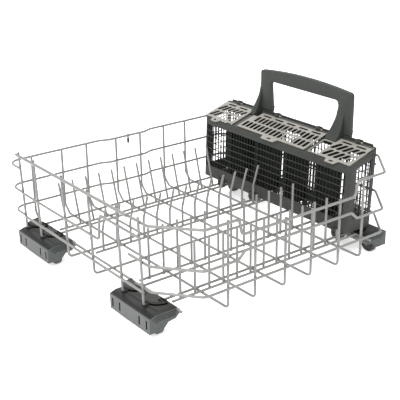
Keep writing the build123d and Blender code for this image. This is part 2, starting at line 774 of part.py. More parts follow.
# Gussets between the lids, resting on the crossbars of the rim and ending at the legs' outlines
gusset_x = lid_notch_x + gusset_room
gusset_step = handle_in_x - gusset_x
gusset_rise = gusset_z - leg_z
wall_in = outer_rim_x - basket_wall - strip_height * sin(tilt) - lid_gap
with BuildPart() as gussets:
    for low_y, high_y in (rear_gap, (front_hinge_back + 2 * gusset_room, front_gap[1] - gusset_room)):
        with BuildSketch(cross_plane((low_y + high_y) / 2)):
            Polygon((handle_in_x + 1, gusset_z), (handle_in_x, gusset_z),
                    (handle_in_x - 0.16 * gusset_step, gusset_z - 0.42 * gusset_rise),
                    (handle_in_x - 0.4 * gusset_step, gusset_z - 0.75 * gusset_rise),
                    (handle_in_x - 0.7 * gusset_step, gusset_z - 0.98 * gusset_rise),
                    (gusset_x, rim_z(gusset_x) + 4 * gusset_room), (gusset_x, rim_z(gusset_x) + 2 * lid_gap),
                    (wall_in, rim_z(wall_in) + 2 * lid_gap), (wall_in, leg_z + 2 * lid_gap),
                    (handle_in_x + 1, leg_z + 2 * lid_gap), align=None)
        extrude(amount=(high_y - low_y) / 2 - gusset_room / 2, both=True)
    extrude(to_extrude=arch.sketch, amount=handle_out_x, mode=Mode.INTERSECT)

with BuildPart() as basket_handle:
    extrude(to_extrude=arch.sketch, amount=handle_out_x)
    # The legs narrow to plates that lie against the outside of the wall
    with BuildSketch(cross_plane(bar_mid)):
        Polygon((handle_in_x, handle_top_z), (handle_in_x, leg_z + lid_gap),
                (outer_x(leg_z) + lid_gap, leg_z + lid_gap),
                (outer_x(handle_foot_z) + lid_gap, handle_foot_z),
                (outer_x(handle_foot_z) + lid_gap + foot_plate, handle_foot_z),
                (outer_x(leg_z) + lid_gap + foot_plate, leg_z), (handle_out_x, leg_z + handle_thickness),
                (handle_out_x, handle_top_z), align=None)
    extrude(amount=basket_length, both=True, mode=Mode.INTERSECT)
    add(gussets.part)
basket_handle.part.label = "basket_handle"
export_step(basket_handle.part, "parts/basket_handle.step")
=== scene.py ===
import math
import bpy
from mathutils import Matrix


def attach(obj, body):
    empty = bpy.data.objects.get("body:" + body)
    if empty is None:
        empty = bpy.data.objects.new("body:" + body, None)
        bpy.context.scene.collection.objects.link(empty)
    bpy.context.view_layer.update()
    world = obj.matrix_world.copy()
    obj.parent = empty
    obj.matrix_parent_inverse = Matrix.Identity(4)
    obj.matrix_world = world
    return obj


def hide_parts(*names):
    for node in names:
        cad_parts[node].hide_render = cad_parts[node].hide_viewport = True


bl_info = {
    "name": "Wire dish rack",
    "version": (1, 0, 0),
    "blender": (4, 5, 0),
    "location": "View3D > Sidebar > Dish rack",
    "description": "Dresses the packed dish rack with round wires, moulded pieces and a photo stage",
    "category": "Object",
}

import bmesh
import bpy
from bpy.props import FloatProperty, FloatVectorProperty, IntProperty, PointerProperty
from mathutils import Matrix, Quaternion, Vector

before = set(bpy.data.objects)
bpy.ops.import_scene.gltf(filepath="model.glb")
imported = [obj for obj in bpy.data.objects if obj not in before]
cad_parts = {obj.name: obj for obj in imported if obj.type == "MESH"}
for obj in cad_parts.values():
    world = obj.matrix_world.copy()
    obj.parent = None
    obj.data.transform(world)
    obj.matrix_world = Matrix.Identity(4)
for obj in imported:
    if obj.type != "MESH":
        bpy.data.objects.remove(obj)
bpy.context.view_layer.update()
MM = 0.001

# Places of the wires, in millimetres, as the solids have them but for a steeper dip in front
WELD = 0.1
FLOOR_Z = 40.0
HALF_WIDTH, SIDE_LEAN, SIDE_ARM_TOP = 261.0, 0.03, 202.0
FRONT_ARM_Y, BACK_ARM_Y, BACK_RECESS, BACK_BEND = -263.6, 264.9, 8.0, 16.0
LENGTH_XS = (30.0, 96.0, 153.0)
OUTER_LENGTH_X, OUTER_LENGTH_FRONT = 220.0, -227.6
CROSS_YS = (223.4, 164.4, 61.4, -27.6, -118.1, -180.6)
FRONT_TOP_Z, FRONT_DIP_Z, DIP_X, DIP_RUN = 192.0, 164.0, 128.0, 6.0
FRONT_MIDDLE_Z, FRONT_RISE_Z, RISE_X, RISE_RUN = 122.0, 135.0, 121.0, 14.0
FRONT_BASE_Z = 76.5
FRONT_ENDS = (-141.6, -138.6, -154.6)
CORNER_X, CORNER_Y = 202.0, -198.6
SIDE_TOP_ZS, SIDE_TOP_YS = (198.0, 198.0), (225.4, -154.6)
SIDE_MIDDLE_ZS, SIDE_MIDDLE_YS = (122.0, 122.0, 170.0, 170.0), (213.4, -59.6, -68.6, -187.6)
SIDE_LOW_ZS, SIDE_LOW_YS = (73.5, 73.5), (213.4, -185.6)
REAR_ZS = (171.7, 123.0, 76.0)
REAR_RECESS_X, REAR_SLANT, REAR_CORNER, REAR_END_Y = 44.0, 20.0, 42.0, 217.5
ROD_HALF_LENGTH = 214.5
TINE_FIRST_X, TINE_FOOT = -196.0, 0.6
STUB_ZS, SLEEVE_R, SLEEVE_LENGTH = (157.0, 176.0), 2.5, 10.0

# Places of the roller housings, clips and wheels
HOUSING_YS = {"rear": 174.9, "front": -158.6}
HOUSING_FACE_X, HOUSING_HALF_LENGTH, HOUSING_TOP_Z, DECK_Z = 276.0, 58.5, 45.0, 45.6
# Heights between which the painted shade on the housings' upper side takes over
TOP_SHADE_ZS = (40.6, 41.8)
WHEEL_X, WHEEL_OFFSET, WHEEL_Z = 250.0, 39.5, 16.5
CLIP_X, CLIP_REACH, CLIP_LENGTH, CLIP_SHIFT, CLIP_THICKNESS = 227.0, 25.0, 46.0, 6.0, 3.4
WIRE_ROOM = 0.4

# Places of the cutlery basket, its lids and handle
BASKET_YS = (-199.6, 229.4)
BASKET_FLOOR_Z = 54.0
INNER_XS, OUTER_XS = (177.0, 183.0), (247.0, 256.0)
INNER_RIM_Z, TOP_SLOPE = 187.0, 0.3056
TILT = math.atan(TOP_SLOPE)
OUTER_RIM_Z = INNER_RIM_Z + TOP_SLOPE * (OUTER_XS[1] - INNER_XS[1])
BASKET_WALL, CORNER_R, OUTER_CORNER_R = 2.5, 8.0, 3.2
LOW_BAND, RIM_BAND, OUTER_BAND = 25.0, 16.0, 25.0
PARTITION_YS = (143.6, 57.8, -28.0, -113.8)
LID_INNER_X, LID_NOTCH_X, HINGE_X, HINGE_RISE, HINGE_R = 184.5, 230.0, 250.5, 2.6, 2.0
KNOB_YS, KNOB_WIDTH = (192.0, 68.0, -52.6, -160.0), 11.0
GUSSET_X = 231.0


# Sizes and colours that a user would change

def colour(name, text, value):
    """Colour setting with a plain default."""
    return FloatVectorProperty(name=name, description=text, subtype="COLOR", size=3, min=0, max=1,
                               default=value)


def length(name, text, value):
    """Length setting in metres."""
    return FloatProperty(name=name, description=text, subtype="DISTANCE", unit="LENGTH", default=value)


class RackSizes(bpy.types.PropertyGroup):
    """Sizes of the wires and of the moulded details."""
    wire_diameter: length("Wire diameter", "Thickness of the floor and rail wires", 0.0036)
    rail_diameter: length("Rail diameter", "Thickness of the top and middle rails", 0.0049)
    tine_diameter: length("Tine diameter", "Thickness of the tines", 0.0033)
    coating: length("Coating", "Coating that rounds the wires and closes their welds", 0.0005)
    bend_radius: length("Bend radius", "Radius of the bends in the wires", 0.008)
    corner_radius: length("Corner radius", "Radius of the bends at the rack's corners", 0.014)
    tine_pitch: length("Tine pitch", "Distance between two tines of a row", 0.0302)
    grid_pitch: length("Grid pitch", "Distance between two upright bars of the basket's grid", 0.0086)
    wire_sides: IntProperty(name="Wire sides", description="Sides of a wire's round section",
                            default=16, min=6, max=48)
    grid_rows: IntProperty(name="Grid rows", description="Rows of gaps in the basket's grid",
                           default=7, min=2, max=20)


class RackColours(bpy.types.PropertyGroup):
    """Colours of the finishes."""
    wire: colour("Coated wire", "Coating of the wires", (0.160, 0.158, 0.153))
    sleeve: colour("Sleeve", "Plastic sleeve on the rear stub", (0.040, 0.027, 0.019))
    basket: colour("Basket", "Plastic of the cutlery basket", (0.030, 0.032, 0.029))
    # Painted shade: near-black colour for the shade inside the basket and in the grooves of the housing ends
    shade: colour("Shade", "Plastic inside the basket and in grooves", (0.0105, 0.0122, 0.0097))
    # Painted shade: near-black colour for the shade deep in the housing slots and under the clips
    recess: colour("Recess", "Plastic deep in slots and under the clips", (0.0015, 0.0016, 0.0014))
    handle: colour("Handle", "Plastic of the carrying handle", (0.031, 0.034, 0.031))
    lid: colour("Lid", "Plastic of the lids", (0.210, 0.202, 0.180))
    housing: colour("Housing", "Plastic of the roller housings", (0.082, 0.085, 0.084))
    # Painted shade: darker copy of the housing plastic on the housings' upper side
    housing_top: colour("Housing top", "Upper side of the roller housings", (0.009, 0.010, 0.009))
    deck: colour("Deck", "Top of the roller housings under the clips", (0.021, 0.022, 0.020))
    # Painted shade: darker copy of the housing plastic on the housings' ends
    end_cap: colour("End cap", "Ribbed ends of the roller housings", (0.056, 0.062, 0.059))
    clip: colour("Clip", "Plastic of the wire clips", (0.030, 0.030, 0.026))
    wheel: colour("Wheel", "Plastic of the wheels", (0.046, 0.044, 0.038))
    floor: colour("Floor", "Floor of the stage", (0.93, 0.93, 0.93))


# Nodes

def add_node(tree, kind, **values):
    """Node with values for some of its inputs; an underscore stands for a space in their names."""
    node = tree.nodes.new(kind)
    for label, value in values.items():
        node.inputs[label.replace("_", " ")].default_value = value
    return node


def join(tree, *pairs):
    """Links pairs of sockets."""
    for start, end in pairs:
        tree.links.new(start, end)


# Finishes: spread of the colour, range of roughness, scale and depth of the grain, scale of the clouds
# and shine
FINISHES = {
    "wire": (0.06, (0.2, 0.3), 420, 0.06, 35, 0.35),
    "sleeve": (0.12, (0.45, 0.6), 1400, 0.2, 80, 0.2),
    "basket": (0.12, (0.45, 0.6), 1500, 0.25, 22, 0.2),
    "shade": (0.12, (0.6, 0.75), 1500, 0.2, 22, 0.1),
    "recess": (0.1, (0.75, 0.9), 1500, 0.1, 22, 0.02),
    "handle": (0.1, (0.42, 0.58), 1500, 0.25, 18, 0.2),
    "lid": (0.07, (0.42, 0.55), 1300, 0.2, 26, 0.2),
    "housing": (0.12, (0.42, 0.6), 1500, 0.25, 30, 0.2),
    "deck": (0.14, (0.45, 0.62), 1400, 0.25, 40, 0.15),
    "end_cap": (0.14, (0.45, 0.62), 1500, 0.25, 35, 0.2),
    "clip": (0.16, (0.45, 0.62), 1400, 0.25, 60, 0.2),
    "wheel": (0.12, (0.4, 0.55), 1200, 0.2, 60, 0.2),
    "floor": (0.01, (0.7, 0.8), 200, 0.02, 3, 0.5),
}
GRAIN_HEIGHT = 0.0004
CLOUD_EDGES = (0.3, 0.7)


def grained(name, tint, spread, rough, grain, depth, scale, shine, upper):
    """Plastic or coating with cloudy colour, uneven gloss and a fine raised grain.

    An upper colour with its two heights takes over between them; for the housings it is a darker copy of
    their plastic, painted shade on their upper side.
    """
    material = bpy.data.materials.new(name)
    material.use_nodes = True
    tree = material.node_tree
    shader = tree.nodes["Principled BSDF"].inputs
    shader["Specular IOR Level"].default_value = shine
    place = add_node(tree, "ShaderNodeTexCoord").outputs["Object"]
    cloud = add_node(tree, "ShaderNodeTexNoise", Scale=scale, Detail=5.0)
    fine = add_node(tree, "ShaderNodeTexNoise", Scale=grain, Detail=2.0)
    gloss = add_node(tree, "ShaderNodeMapRange", To_Min=rough[0], To_Max=rough[1])
    bump = add_node(tree, "ShaderNodeBump", Strength=depth, Distance=GRAIN_HEIGHT)
    ramp = add_node(tree, "ShaderNodeValToRGB")
    for element, edge, share in zip(ramp.color_ramp.elements, CLOUD_EDGES, (1 - spread, 1 + spread)):
        element.position, element.color = edge, (*[c * share for c in tint], 1)
    colour_out = ramp.outputs["Color"]
    if upper:
        top_tint, low_z, high_z = upper
        split = add_node(tree, "ShaderNodeSeparateXYZ")
        share = add_node(tree, "ShaderNodeMapRange", From_Min=low_z * MM, From_Max=high_z * MM)
        blend = add_node(tree, "ShaderNodeMix")
        blend.data_type = "RGBA"
        blend.inputs["B"].default_value = (*top_tint, 1)
        join(tree, (place, split.inputs["Vector"]), (split.outputs["Z"], share.inputs["Value"]),
             (share.outputs["Result"], blend.inputs["Factor"]), (colour_out, blend.inputs["A"]))
        colour_out = blend.outputs["Result"]
    join(tree, (place, cloud.inputs["Vector"]), (place, fine.inputs["Vector"]),
         (cloud.outputs["Fac"], ramp.inputs["Fac"]), (cloud.outputs["Fac"], gloss.inputs["Value"]),
         (fine.outputs["Fac"], bump.inputs["Height"]), (colour_out, shader["Base Color"]),
         (gloss.outputs["Result"], shader["Roughness"]), (bump.outputs["Normal"], shader["Normal"]))
    return material


def finish(look):
    """Material of a look, made once from the colour settings."""
    name = f"rack_{look}"
    if name in bpy.data.materials:
        return bpy.data.materials[name]
    colours = bpy.context.scene.rack_colours
    # The housings' plastic turns darker near their top: painted shade on their upper side
    upper = (colours.housing_top, *TOP_SHADE_ZS) if look == "housing" else None
    return grained(name, getattr(colours, look), *FINISHES[look], upper)


# Objects

SHARP = math.radians(35)


def new_object(name, data):
    """Object at the origin; the place of a mesh is in its points."""
    item = bpy.data.objects.new(name, data)
    bpy.context.scene.collection.objects.link(item)
    return item


def mesh_object(name, made):
    """Object of a shape in millimetres, which is used up."""
    bmesh.ops.scale(made, vec=(MM,) * 3, verts=made.verts)
    mesh = bpy.data.meshes.new(name)
    made.to_mesh(mesh)
    made.free()
    return new_object(name, mesh)


def bake(item):
    """Turns an object with its modifiers into a plain mesh."""
    graph = bpy.context.evaluated_depsgraph_get()
    mesh = bpy.data.meshes.new_from_object(item.evaluated_get(graph))
    item.modifiers.clear()
    item.data = mesh


def settle(item, body, slot, *nodes):
    """Puts a piece on its body and hides the solids that it stands for."""
    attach(item, body)
    if nodes:
        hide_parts(*nodes)


def soften(item, width, segments, angle=SHARP):
    """Rounds the sharp edges of an object."""
    edges = item.modifiers.new("Soft edges", "BEVEL")
    edges.width, edges.segments = width * MM, segments
    edges.limit_method, edges.angle_limit = "ANGLE", angle


def smooth(item):
    """Smooth shading with sharp edges kept."""
    item.data.shade_smooth()
    item.data.set_sharp_from_angle(angle=SHARP)


def moulded(name, parts, look, bevel, body, slot, *nodes, segments=2):
    """Piece of several closed shells with softened edges, on its body."""
    joined = bmesh.new()
    for part in parts:
        mesh = bpy.data.meshes.new("part")
        part.to_mesh(mesh)
        part.free()
        joined.from_mesh(mesh)
        bpy.data.meshes.remove(mesh)
    item = mesh_object(name, joined)
    item.data.materials.append(finish(look))
    if bevel:
        soften(item, bevel, segments)
        bake(item)
    smooth(item)
    settle(item, body, slot, *nodes)


# Outlines and shells, in millimetres

def bent(points, radius, steps=6, closed=False):
    """Route whose corners are rounded to a radius, as far as their neighbours leave room."""
    no_bend, room = math.radians(89.5), 0.49
    points = [Vector(p) for p in points]
    if closed:
        points = [points[-1], *points, points[0]]
    path = [] if closed else [points[0]]
    for before, corner, after in zip(points, points[1:], points[2:]):
        back, on = before - corner, after - corner
        half = back.angle(on) / 2
        if half > no_bend:
            path.append(corner)
            continue
        reach = min(radius / math.tan(half), room * back.length, room * on.length)
        back.normalize()
        on.normalize()
        centre = corner + (back + on).normalized() * reach / math.cos(half)
        first, last = corner + back * reach - centre, corner + on * reach - centre
        turn = first.rotation_difference(last)
        path += [centre + Quaternion().slerp(turn, i / steps) @ first for i in range(steps + 1)]
    return path if closed else path + [points[-1]]


def loop(points, radius, steps=4):
    """Closed plan outline with rounded corners."""
    return [(p.x, p.y) for p in bent([(u, v, 0) for u, v in points], radius, steps, True)]


def slot_loop(u, v, along, across, slant=0.0):
    """Rounded slot about a middle; a slant moves its two ends apart along the second axis."""
    a, b, rounding = along / 2, across / 2, 0.42 * min(along, across)
    return loop([(u - a, v - b - slant), (u + a, v - b + slant), (u + a, v + b + slant),
                 (u - a, v + b - slant)], rounding, 5)


def arc(middle, radii, steps, first=0, last=None):
    """Points of an oval that is divided into steps, all round or from a first to a last one."""
    angles = [math.tau * i / steps for i in range(first, steps if last is None else last + 1)]
    return [(middle[0] + radii[0] * math.cos(a), middle[1] + radii[1] * math.sin(a)) for a in angles]


def rect(u0, v0, u1, v1):
    """Outline of a rectangle between two corners."""
    return [(u0, v0), (u1, v0), (u1, v1), (u0, v1)]


def about(middle, half):
    """Both ends of a span about its middle."""
    return middle - half, middle + half


def plate(outline, low, high, place, holes=()):
    """Closed flat plate between two heights; place gives the rack's point for a plan point."""
    made = bmesh.new()
    edges = []
    for ring in (outline, *holes):
        corners = [made.verts.new((u, v, low)) for u, v in ring]
        edges += [made.edges.new(pair) for pair in zip(corners, corners[1:] + corners[:1])]
    bmesh.ops.triangle_fill(made, use_beauty=True, edges=edges)
    raised = bmesh.ops.extrude_face_region(made, geom=made.faces[:])["geom"]
    bmesh.ops.translate(made, vec=(0, 0, high - low),
                        verts=[v for v in raised if isinstance(v, bmesh.types.BMVert)])
    for corner in made.verts:
        corner.co = place(*corner.co)
    bmesh.ops.recalc_face_normals(made, faces=made.faces)
    return made


def block(*spans):
    """Closed box between two places on each axis."""
    made = bmesh.new()
    bmesh.ops.create_cube(made, size=1)
    for corner in made.verts:
        corner.co = [(a + b) / 2 + c * abs(b - a) for (a, b), c in zip(spans, corner.co)]
    return made


def skin(made, rings):
    """Faces between neighbouring rings of points; returns the shell with its normals outwards."""
    for ring, after in zip(rings, rings[1:]):
        for a, b, c, d in zip(ring, ring[1:] + ring[:1], after[1:] + after[:1], after):
            made.faces.new((a, b, c, d))
    bmesh.ops.recalc_face_normals(made, faces=made.faces)
    return made


def turned(profile, middle, steps=48):
    """Closed shell of revolution about an axis along X; the profile is a ring of (x, radius)."""
    made = bmesh.new()
    rings = []
    for i in range(steps):
        a = math.tau * i / steps
        rings.append([made.verts.new(middle + Vector((x, r * math.cos(a), r * math.sin(a))))
                      for x, r in profile])
    return skin(made, rings + rings[:1])


# Node trees

def kept_tree(name, inputs, fill):
    """Geometry node tree with named inputs, filled once; it ends with real geometry and a material."""
    if name in bpy.data.node_groups:
        return bpy.data.node_groups[name]
    tree = bpy.data.node_groups.new(name, "GeometryNodeTree")
    for label, kind in {"Geometry": "Geometry", **inputs, "Material": "Material"}.items():
        tree.interface.new_socket(label, in_out="INPUT", socket_type="NodeSocket" + kind)
    tree.interface.new_socket("Geometry", in_out="OUTPUT", socket_type="NodeSocketGeometry")
    entry = add_node(tree, "NodeGroupInput").outputs
    realize = add_node(tree, "GeometryNodeRealizeInstances")
    paint = add_node(tree, "GeometryNodeSetMaterial")
    leave = add_node(tree, "NodeGroupOutput")
    join(tree, (fill(tree, entry), realize.inputs[0]), (realize.outputs[0], paint.inputs["Geometry"]),
         (entry["Material"], paint.inputs["Material"]), (paint.outputs["Geometry"], leave.inputs[0]))
    return tree


def sweep_nodes(tree, entry):
    """Nodes that turn routes into round wires with rounded ends; returns the last socket."""
    curve = add_node(tree, "GeometryNodeMeshToCurve")
    tip = add_node(tree, "GeometryNodeInputNamedAttribute", Name="tip")
    tip.data_type = "FLOAT"
    width = add_node(tree, "GeometryNodeSetCurveRadius")
    half = add_node(tree, "ShaderNodeMath")
    half.operation, half.inputs[1].default_value = "MULTIPLY", 0.5
    section = add_node(tree, "GeometryNodeCurvePrimitiveCircle")
    sweep = add_node(tree, "GeometryNodeCurveToMesh", Fill_Caps=True)
    shade = add_node(tree, "GeometryNodeSetShadeSmooth")
    join(tree, (entry["Geometry"], curve.inputs["Mesh"]), (curve.outputs["Curve"], width.inputs["Curve"]),
         (tip.outputs["Attribute"], width.inputs["Radius"]), (entry["Diameter"], half.inputs[0]),
         (half.outputs[0], section.inputs["Radius"]), (entry["Sides"], section.inputs["Resolution"]),
         (width.outputs["Curve"], sweep.inputs["Curve"]),
         (section.outputs["Curve"], sweep.inputs["Profile Curve"]),
         (sweep.outputs["Mesh"], shade.inputs["Geometry"]))
    return shade.outputs["Geometry"]


def repeat_nodes(tree, count, offset, shape):
    """Nodes that repeat a shape along a straight line; returns the last socket."""
    line = add_node(tree, "GeometryNodeMeshLine")
    copies = add_node(tree, "GeometryNodeInstanceOnPoints")
    join(tree, (count, line.inputs["Count"]), (offset, line.inputs["Offset"]),
         (line.outputs["Mesh"], copies.inputs["Points"]), (shape, copies.inputs["Instance"]))
    return copies.outputs["Instances"]


def tine_nodes(tree, entry):
    """Nodes that repeat one swept tine along the rack; returns the last socket."""
    step = add_node(tree, "ShaderNodeCombineXYZ")
    join(tree, (entry["Pitch"], step.inputs["X"]))
    return repeat_nodes(tree, entry["Count"], step.outputs["Vector"], sweep_nodes(tree, entry))


def bar_nodes(tree, entry):
    """Nodes that repeat one bar, the input mesh; returns the last socket."""
    return repeat_nodes(tree, entry["Count"], entry["Step"], entry["Geometry"])


TREES = {
    "Round wire": ({"Diameter": "Float", "Sides": "Int"}, sweep_nodes),
    "Tine row": ({"Diameter": "Float", "Sides": "Int", "Count": "Int", "Pitch": "Float"}, tine_nodes),
    "Grid bars": ({"Count": "Int", "Step": "Vector"}, bar_nodes),
}


def run_tree(item, name, look, values):
    """Runs a node tree on an object with its named inputs and a look, and keeps the plain mesh."""
    tree = kept_tree(name, *TREES[name])
    values = {**values, "Material": finish(look)}
    modifier = item.modifiers.new(tree.name, "NODES")
    modifier.node_group = tree
    for socket in tree.interface.items_tree:
        if socket.in_out == "INPUT" and socket.name in values:
            modifier[socket.identifier] = values[socket.name]
    bake(item)


# Wires

# Distance from the end and share of the thickness along a wire's round tip
TIP = ((0.0, 0.4), (0.12, 0.68), (0.4, 0.91), (1.0, 1.0))


def rounded_ends(path, radius):
    """Route points with the share of the thickness that each has, round at both ends."""
    start = (path[1] - path[0]).normalized() * radius
    end = (path[-2] - path[-1]).normalized() * radius
    return ([(path[0] + start * along, across) for along, across in TIP]
            + [(p, 1.0) for p in path[1:-1]]
            + [(path[-1] + end * along, across) for along, across in reversed(TIP)])


def route_object(name, routes, thickness):
    """Object with the routes as edges, in metres, and their tips as an attribute."""
    points, tips, edges = [], [], []
    for route in routes:
        start = len(points)
        for point, tip in rounded_ends([Vector(p) for p in route], thickness / 2 / MM):
            points.append(point * MM)
            tips.append(tip)
        edges += [(i, i + 1) for i in range(start, len(points) - 1)]
    mesh = bpy.data.meshes.new(name)
    mesh.from_pydata(points, edges, [])
    mesh.attributes.new("tip", "FLOAT", "POINT").data.foreach_set("value", tips)
    return new_object(name, mesh)


def wires(name, routes, thickness, *nodes, coated=True, tree="Round wire", **values):
    """Piece of round wires that stands for solids of the rack; the coating adds to their thickness."""
    sizes = bpy.context.scene.rack_sizes
    thickness = thickness * MM + (2 * sizes.coating if coated else 0)
    item = route_object(name, routes, thickness)
    run_tree(item, tree, "wire", {"Diameter": thickness, "Sides": sizes.wire_sides, **values})
    settle(item, "rack", "wire", *nodes)


def sizes_mm():
    """Wire thicknesses and bend radii in millimetres."""
    sizes = bpy.context.scene.rack_sizes
    return [v / MM for v in (sizes.wire_diameter, sizes.rail_diameter, sizes.tine_diameter,
                             sizes.bend_radius, sizes.corner_radius)]


def cross_z(wire):
    """Height of the wires that cross the floor wires."""
    return FLOOR_Z + wire + WELD


def arm_x(z, wire):
    """Distance of the leaning side arms from the middle at a height."""
    return HALF_WIDTH + SIDE_LEAN * (z - cross_z(wire))


def mirrored(half):
    """Points of one half of a wire, followed by those of the other half."""
    return [*half, *[(-x, y, z) for x, y, z in reversed(half)]]


def straight(start, end):
    """Straight route with a point in its middle."""
    start, end = Vector(start), Vector(end)
    return [start, (start + end) / 2, end]


class RACK_OT_length_wires(bpy.types.Operator):
    """Builds the wires that run from front to back"""
    bl_idname = "rack.length_wires"
    bl_label = "Length wires"

    def execute(self, context):
        wire, rail, _, bend, _ = sizes_mm()
        routes = []
        for side in (-1, 1):
            for place in (*LENGTH_XS, OUTER_LENGTH_X):
                x = side * place
                rear_y = BACK_ARM_Y - (BACK_RECESS if place == min(LENGTH_XS) else 0)
                top = (FRONT_TOP_Z if place == max(LENGTH_XS) else FRONT_DIP_Z) + rail / 2
                front = [(x, FRONT_ARM_Y, top), (x, FRONT_ARM_Y, FLOOR_Z)]
                if place == OUTER_LENGTH_X:
                    front = [(x, OUTER_LENGTH_FRONT, FLOOR_Z)]
                routes.append(bent([
                    *front, (x, rear_y - BACK_BEND, FLOOR_Z), (x, rear_y, FLOOR_Z + BACK_BEND),
                    (x, rear_y, REAR_ZS[0] + wire / 2)], bend))
        wires("length_wires_round", routes, wire, "length_wires")
        return {"FINISHED"}


class RACK_OT_cross_wires(bpy.types.Operator):
    """Builds the wide U-shaped wires from side to side"""
    bl_idname = "rack.cross_wires"
    bl_label = "Cross wires"

    def execute(self, context):
        wire, _, _, bend, _ = sizes_mm()
        top_x, low = arm_x(SIDE_ARM_TOP, wire), cross_z(wire)
        routes = [bent(mirrored([(top_x, y, SIDE_ARM_TOP), (HALF_WIDTH, y, low)]), bend) for y in CROSS_YS]
        wires("cross_wires_round", routes, wire, "cross_wires")
        return {"FINISHED"}


class RACK_OT_front_rails(bpy.types.Operator):
    """Builds the three rails round the front"""
    bl_idname = "rack.front_rails"
    bl_label = "Front rails"

    def execute(self, context):
        wire, rail, _, bend, corner = sizes_mm()
        rows = (("front_top_rail", FRONT_TOP_Z, rail, (FRONT_DIP_Z, DIP_X, DIP_RUN)),
                ("front_middle_rail", FRONT_MIDDLE_Z, rail, (FRONT_RISE_Z, RISE_X, RISE_RUN)),
                ("front_base_rail", FRONT_BASE_Z, wire, None))
        for (name, z, thick, turn), end in zip(rows, FRONT_ENDS):
            step = (wire + thick) / 2 + WELD
            side_x, y = arm_x(z, wire) - step, FRONT_ARM_Y - step
            path = bent([(-side_x, end, z), (-side_x, CORNER_Y, z), (-CORNER_X, y, z), (0, y, z)],
                        corner)[:-1]
            if turn:
                middle, turn_x, run = turn
                path += bent([path[-1], (-turn_x - run, y, z), (-turn_x, y, middle), (0, y, middle)],
                             bend)[1:-1]
            wires(name + "_round", [mirrored(path)], thick, name, coated=thick == wire)
        return {"FINISHED"}


class RACK_OT_rear_rails(bpy.types.Operator):
    """Builds the three rails round the back and the hanging stub"""
    bl_idname = "rack.rear_rails"
    bl_label = "Rear rails"

    def execute(self, context):
        wire, _, tine, bend, _ = sizes_mm()
        step = wire + WELD - context.scene.rack_sizes.coating / MM
        y, recess_y, slant_x = BACK_ARM_Y + step, BACK_ARM_Y + step - BACK_RECESS, REAR_RECESS_X + REAR_SLANT
        for name, z in zip(("rear_top_rail", "rear_middle_rail", "rear_low_rail"), REAR_ZS):
            side_x = arm_x(z, wire) + step
            path = bent([(-side_x, REAR_END_Y, z), (-side_x, y, z), (-slant_x, y, z)], REAR_CORNER, 10)[:-1]
            path += bent([path[-1], (-slant_x, y, z), (-REAR_RECESS_X, recess_y, z), (0, recess_y, z)],
                         bend)[1:-1]
            wires(name + "_round", [mirrored(path)], wire, name)
        stub_y, (low, top) = recess_y - (wire + tine) / 2 - WELD, STUB_ZS
        wires("rear_stub_round", [straight((0, stub_y, low), (0, stub_y, top))], tine, "rear_stub")
        sleeve = plate(arc((0, 0), (SLEEVE_R, SLEEVE_R), 16), low, low + SLEEVE_LENGTH,
                       lambda x, v, z: (x, stub_y + v, z))
        moulded("rear_stub_sleeve", [sleeve], "sleeve", 0.5, "rack", "wire")
        return {"FINISHED"}


class RACK_OT_side_rails(bpy.types.Operator):
    """Builds the rails along both sides"""
    bl_idname = "rack.side_rails"
    bl_label = "Side rails"

    def execute(self, context):
        wire, rail, _, bend, _ = sizes_mm()
        for name, zs, ys, thick in (("side_top_rails", SIDE_TOP_ZS, SIDE_TOP_YS, rail),
                                    ("side_middle_rails", SIDE_MIDDLE_ZS, SIDE_MIDDLE_YS, wire),
                                    ("side_low_rails", SIDE_LOW_ZS, SIDE_LOW_YS, wire)):
            step = (wire + thick) / 2 + WELD
            routes = [bent([(side * (arm_x(z, wire) + step), y, z) for y, z in zip(ys, zs)], bend)
                      for side in (-1, 1)]
            wires(name + "_round", [[*straight(*r[:2]), *r[2:]] for r in routes], thick, name)
        return {"FINISHED"}


class RACK_OT_tine_rows(bpy.types.Operator):
    """Builds the four rows of tines on their floor rods"""
    bl_idname = "rack.tine_rows"
    bl_label = "Tine rows"

    # Rod place, weld side, count, top height, lean and share of the height below the bend
    rows = ((179.4, 1, 13, 129.0, 23.0, 0.0), (44.4, 1, 13, 130.0, -15.0, 0.45),
            (-98.6, -1, 12, 137.5, 0.0, 0.0), (-195.6, 1, 12, 136.0, 0.0, 0.0))
    stop_top = 65.0

    def execute(self, context):
        pitch = context.scene.rack_sizes.tine_pitch
        wire, _, tine, bend, _ = sizes_mm()
        low = cross_z(wire)
        foot = low - wire / 2 + TINE_FOOT
        for number, (rod_y, side, count, top, lean, knee) in enumerate(self.rows, 1):
            name = f"tine_row_{number}"
            y = rod_y + side * ((wire + tine) / 2 + WELD)
            middle = (TINE_FIRST_X, y + (0 if knee else lean / 2), foot + (knee or 0.5) * (top - foot))
            route = bent([(TINE_FIRST_X, y, foot), middle, (TINE_FIRST_X, y + lean, top)], 2 * bend)
            wires(name + "_tines", [route], tine, name, tree="Tine row", Count=count, Pitch=pitch)
            rod = straight((-ROD_HALF_LENGTH, rod_y, low), (ROD_HALF_LENGTH, rod_y, low))
            wires(name + "_rod", [rod], wire)
        # The stop stands one pitch after the front row
        x = TINE_FIRST_X + count * pitch / MM
        wires("stop_tine", [straight((x, y, foot), (x, y, self.stop_top))], tine)
        return {"FINISHED"}


# Rollers

def corners():
    """Name, middle along the rack, cross wires held and side of each roller housing."""
    for end, held in (("rear", CROSS_YS[:2]), ("front", CROSS_YS[-2:])):
        for hand, side in (("left", -1), ("right", 1)):
            yield f"{end}_{hand}", HOUSING_YS[end], held, side


def solid_copy(node):
    """Merged copy of a solid's mesh, in millimetres, with its flat faces whole."""
    made = bmesh.new()
    made.from_mesh(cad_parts[node].data)
    bmesh.ops.remove_doubles(made, verts=made.verts, dist=1e-6)
    bmesh.ops.dissolve_limit(made, angle_limit=math.radians(1), verts=made.verts, edges=made.edges)
    bmesh.ops.scale(made, vec=(1 / MM,) * 3, verts=made.verts)
    return made


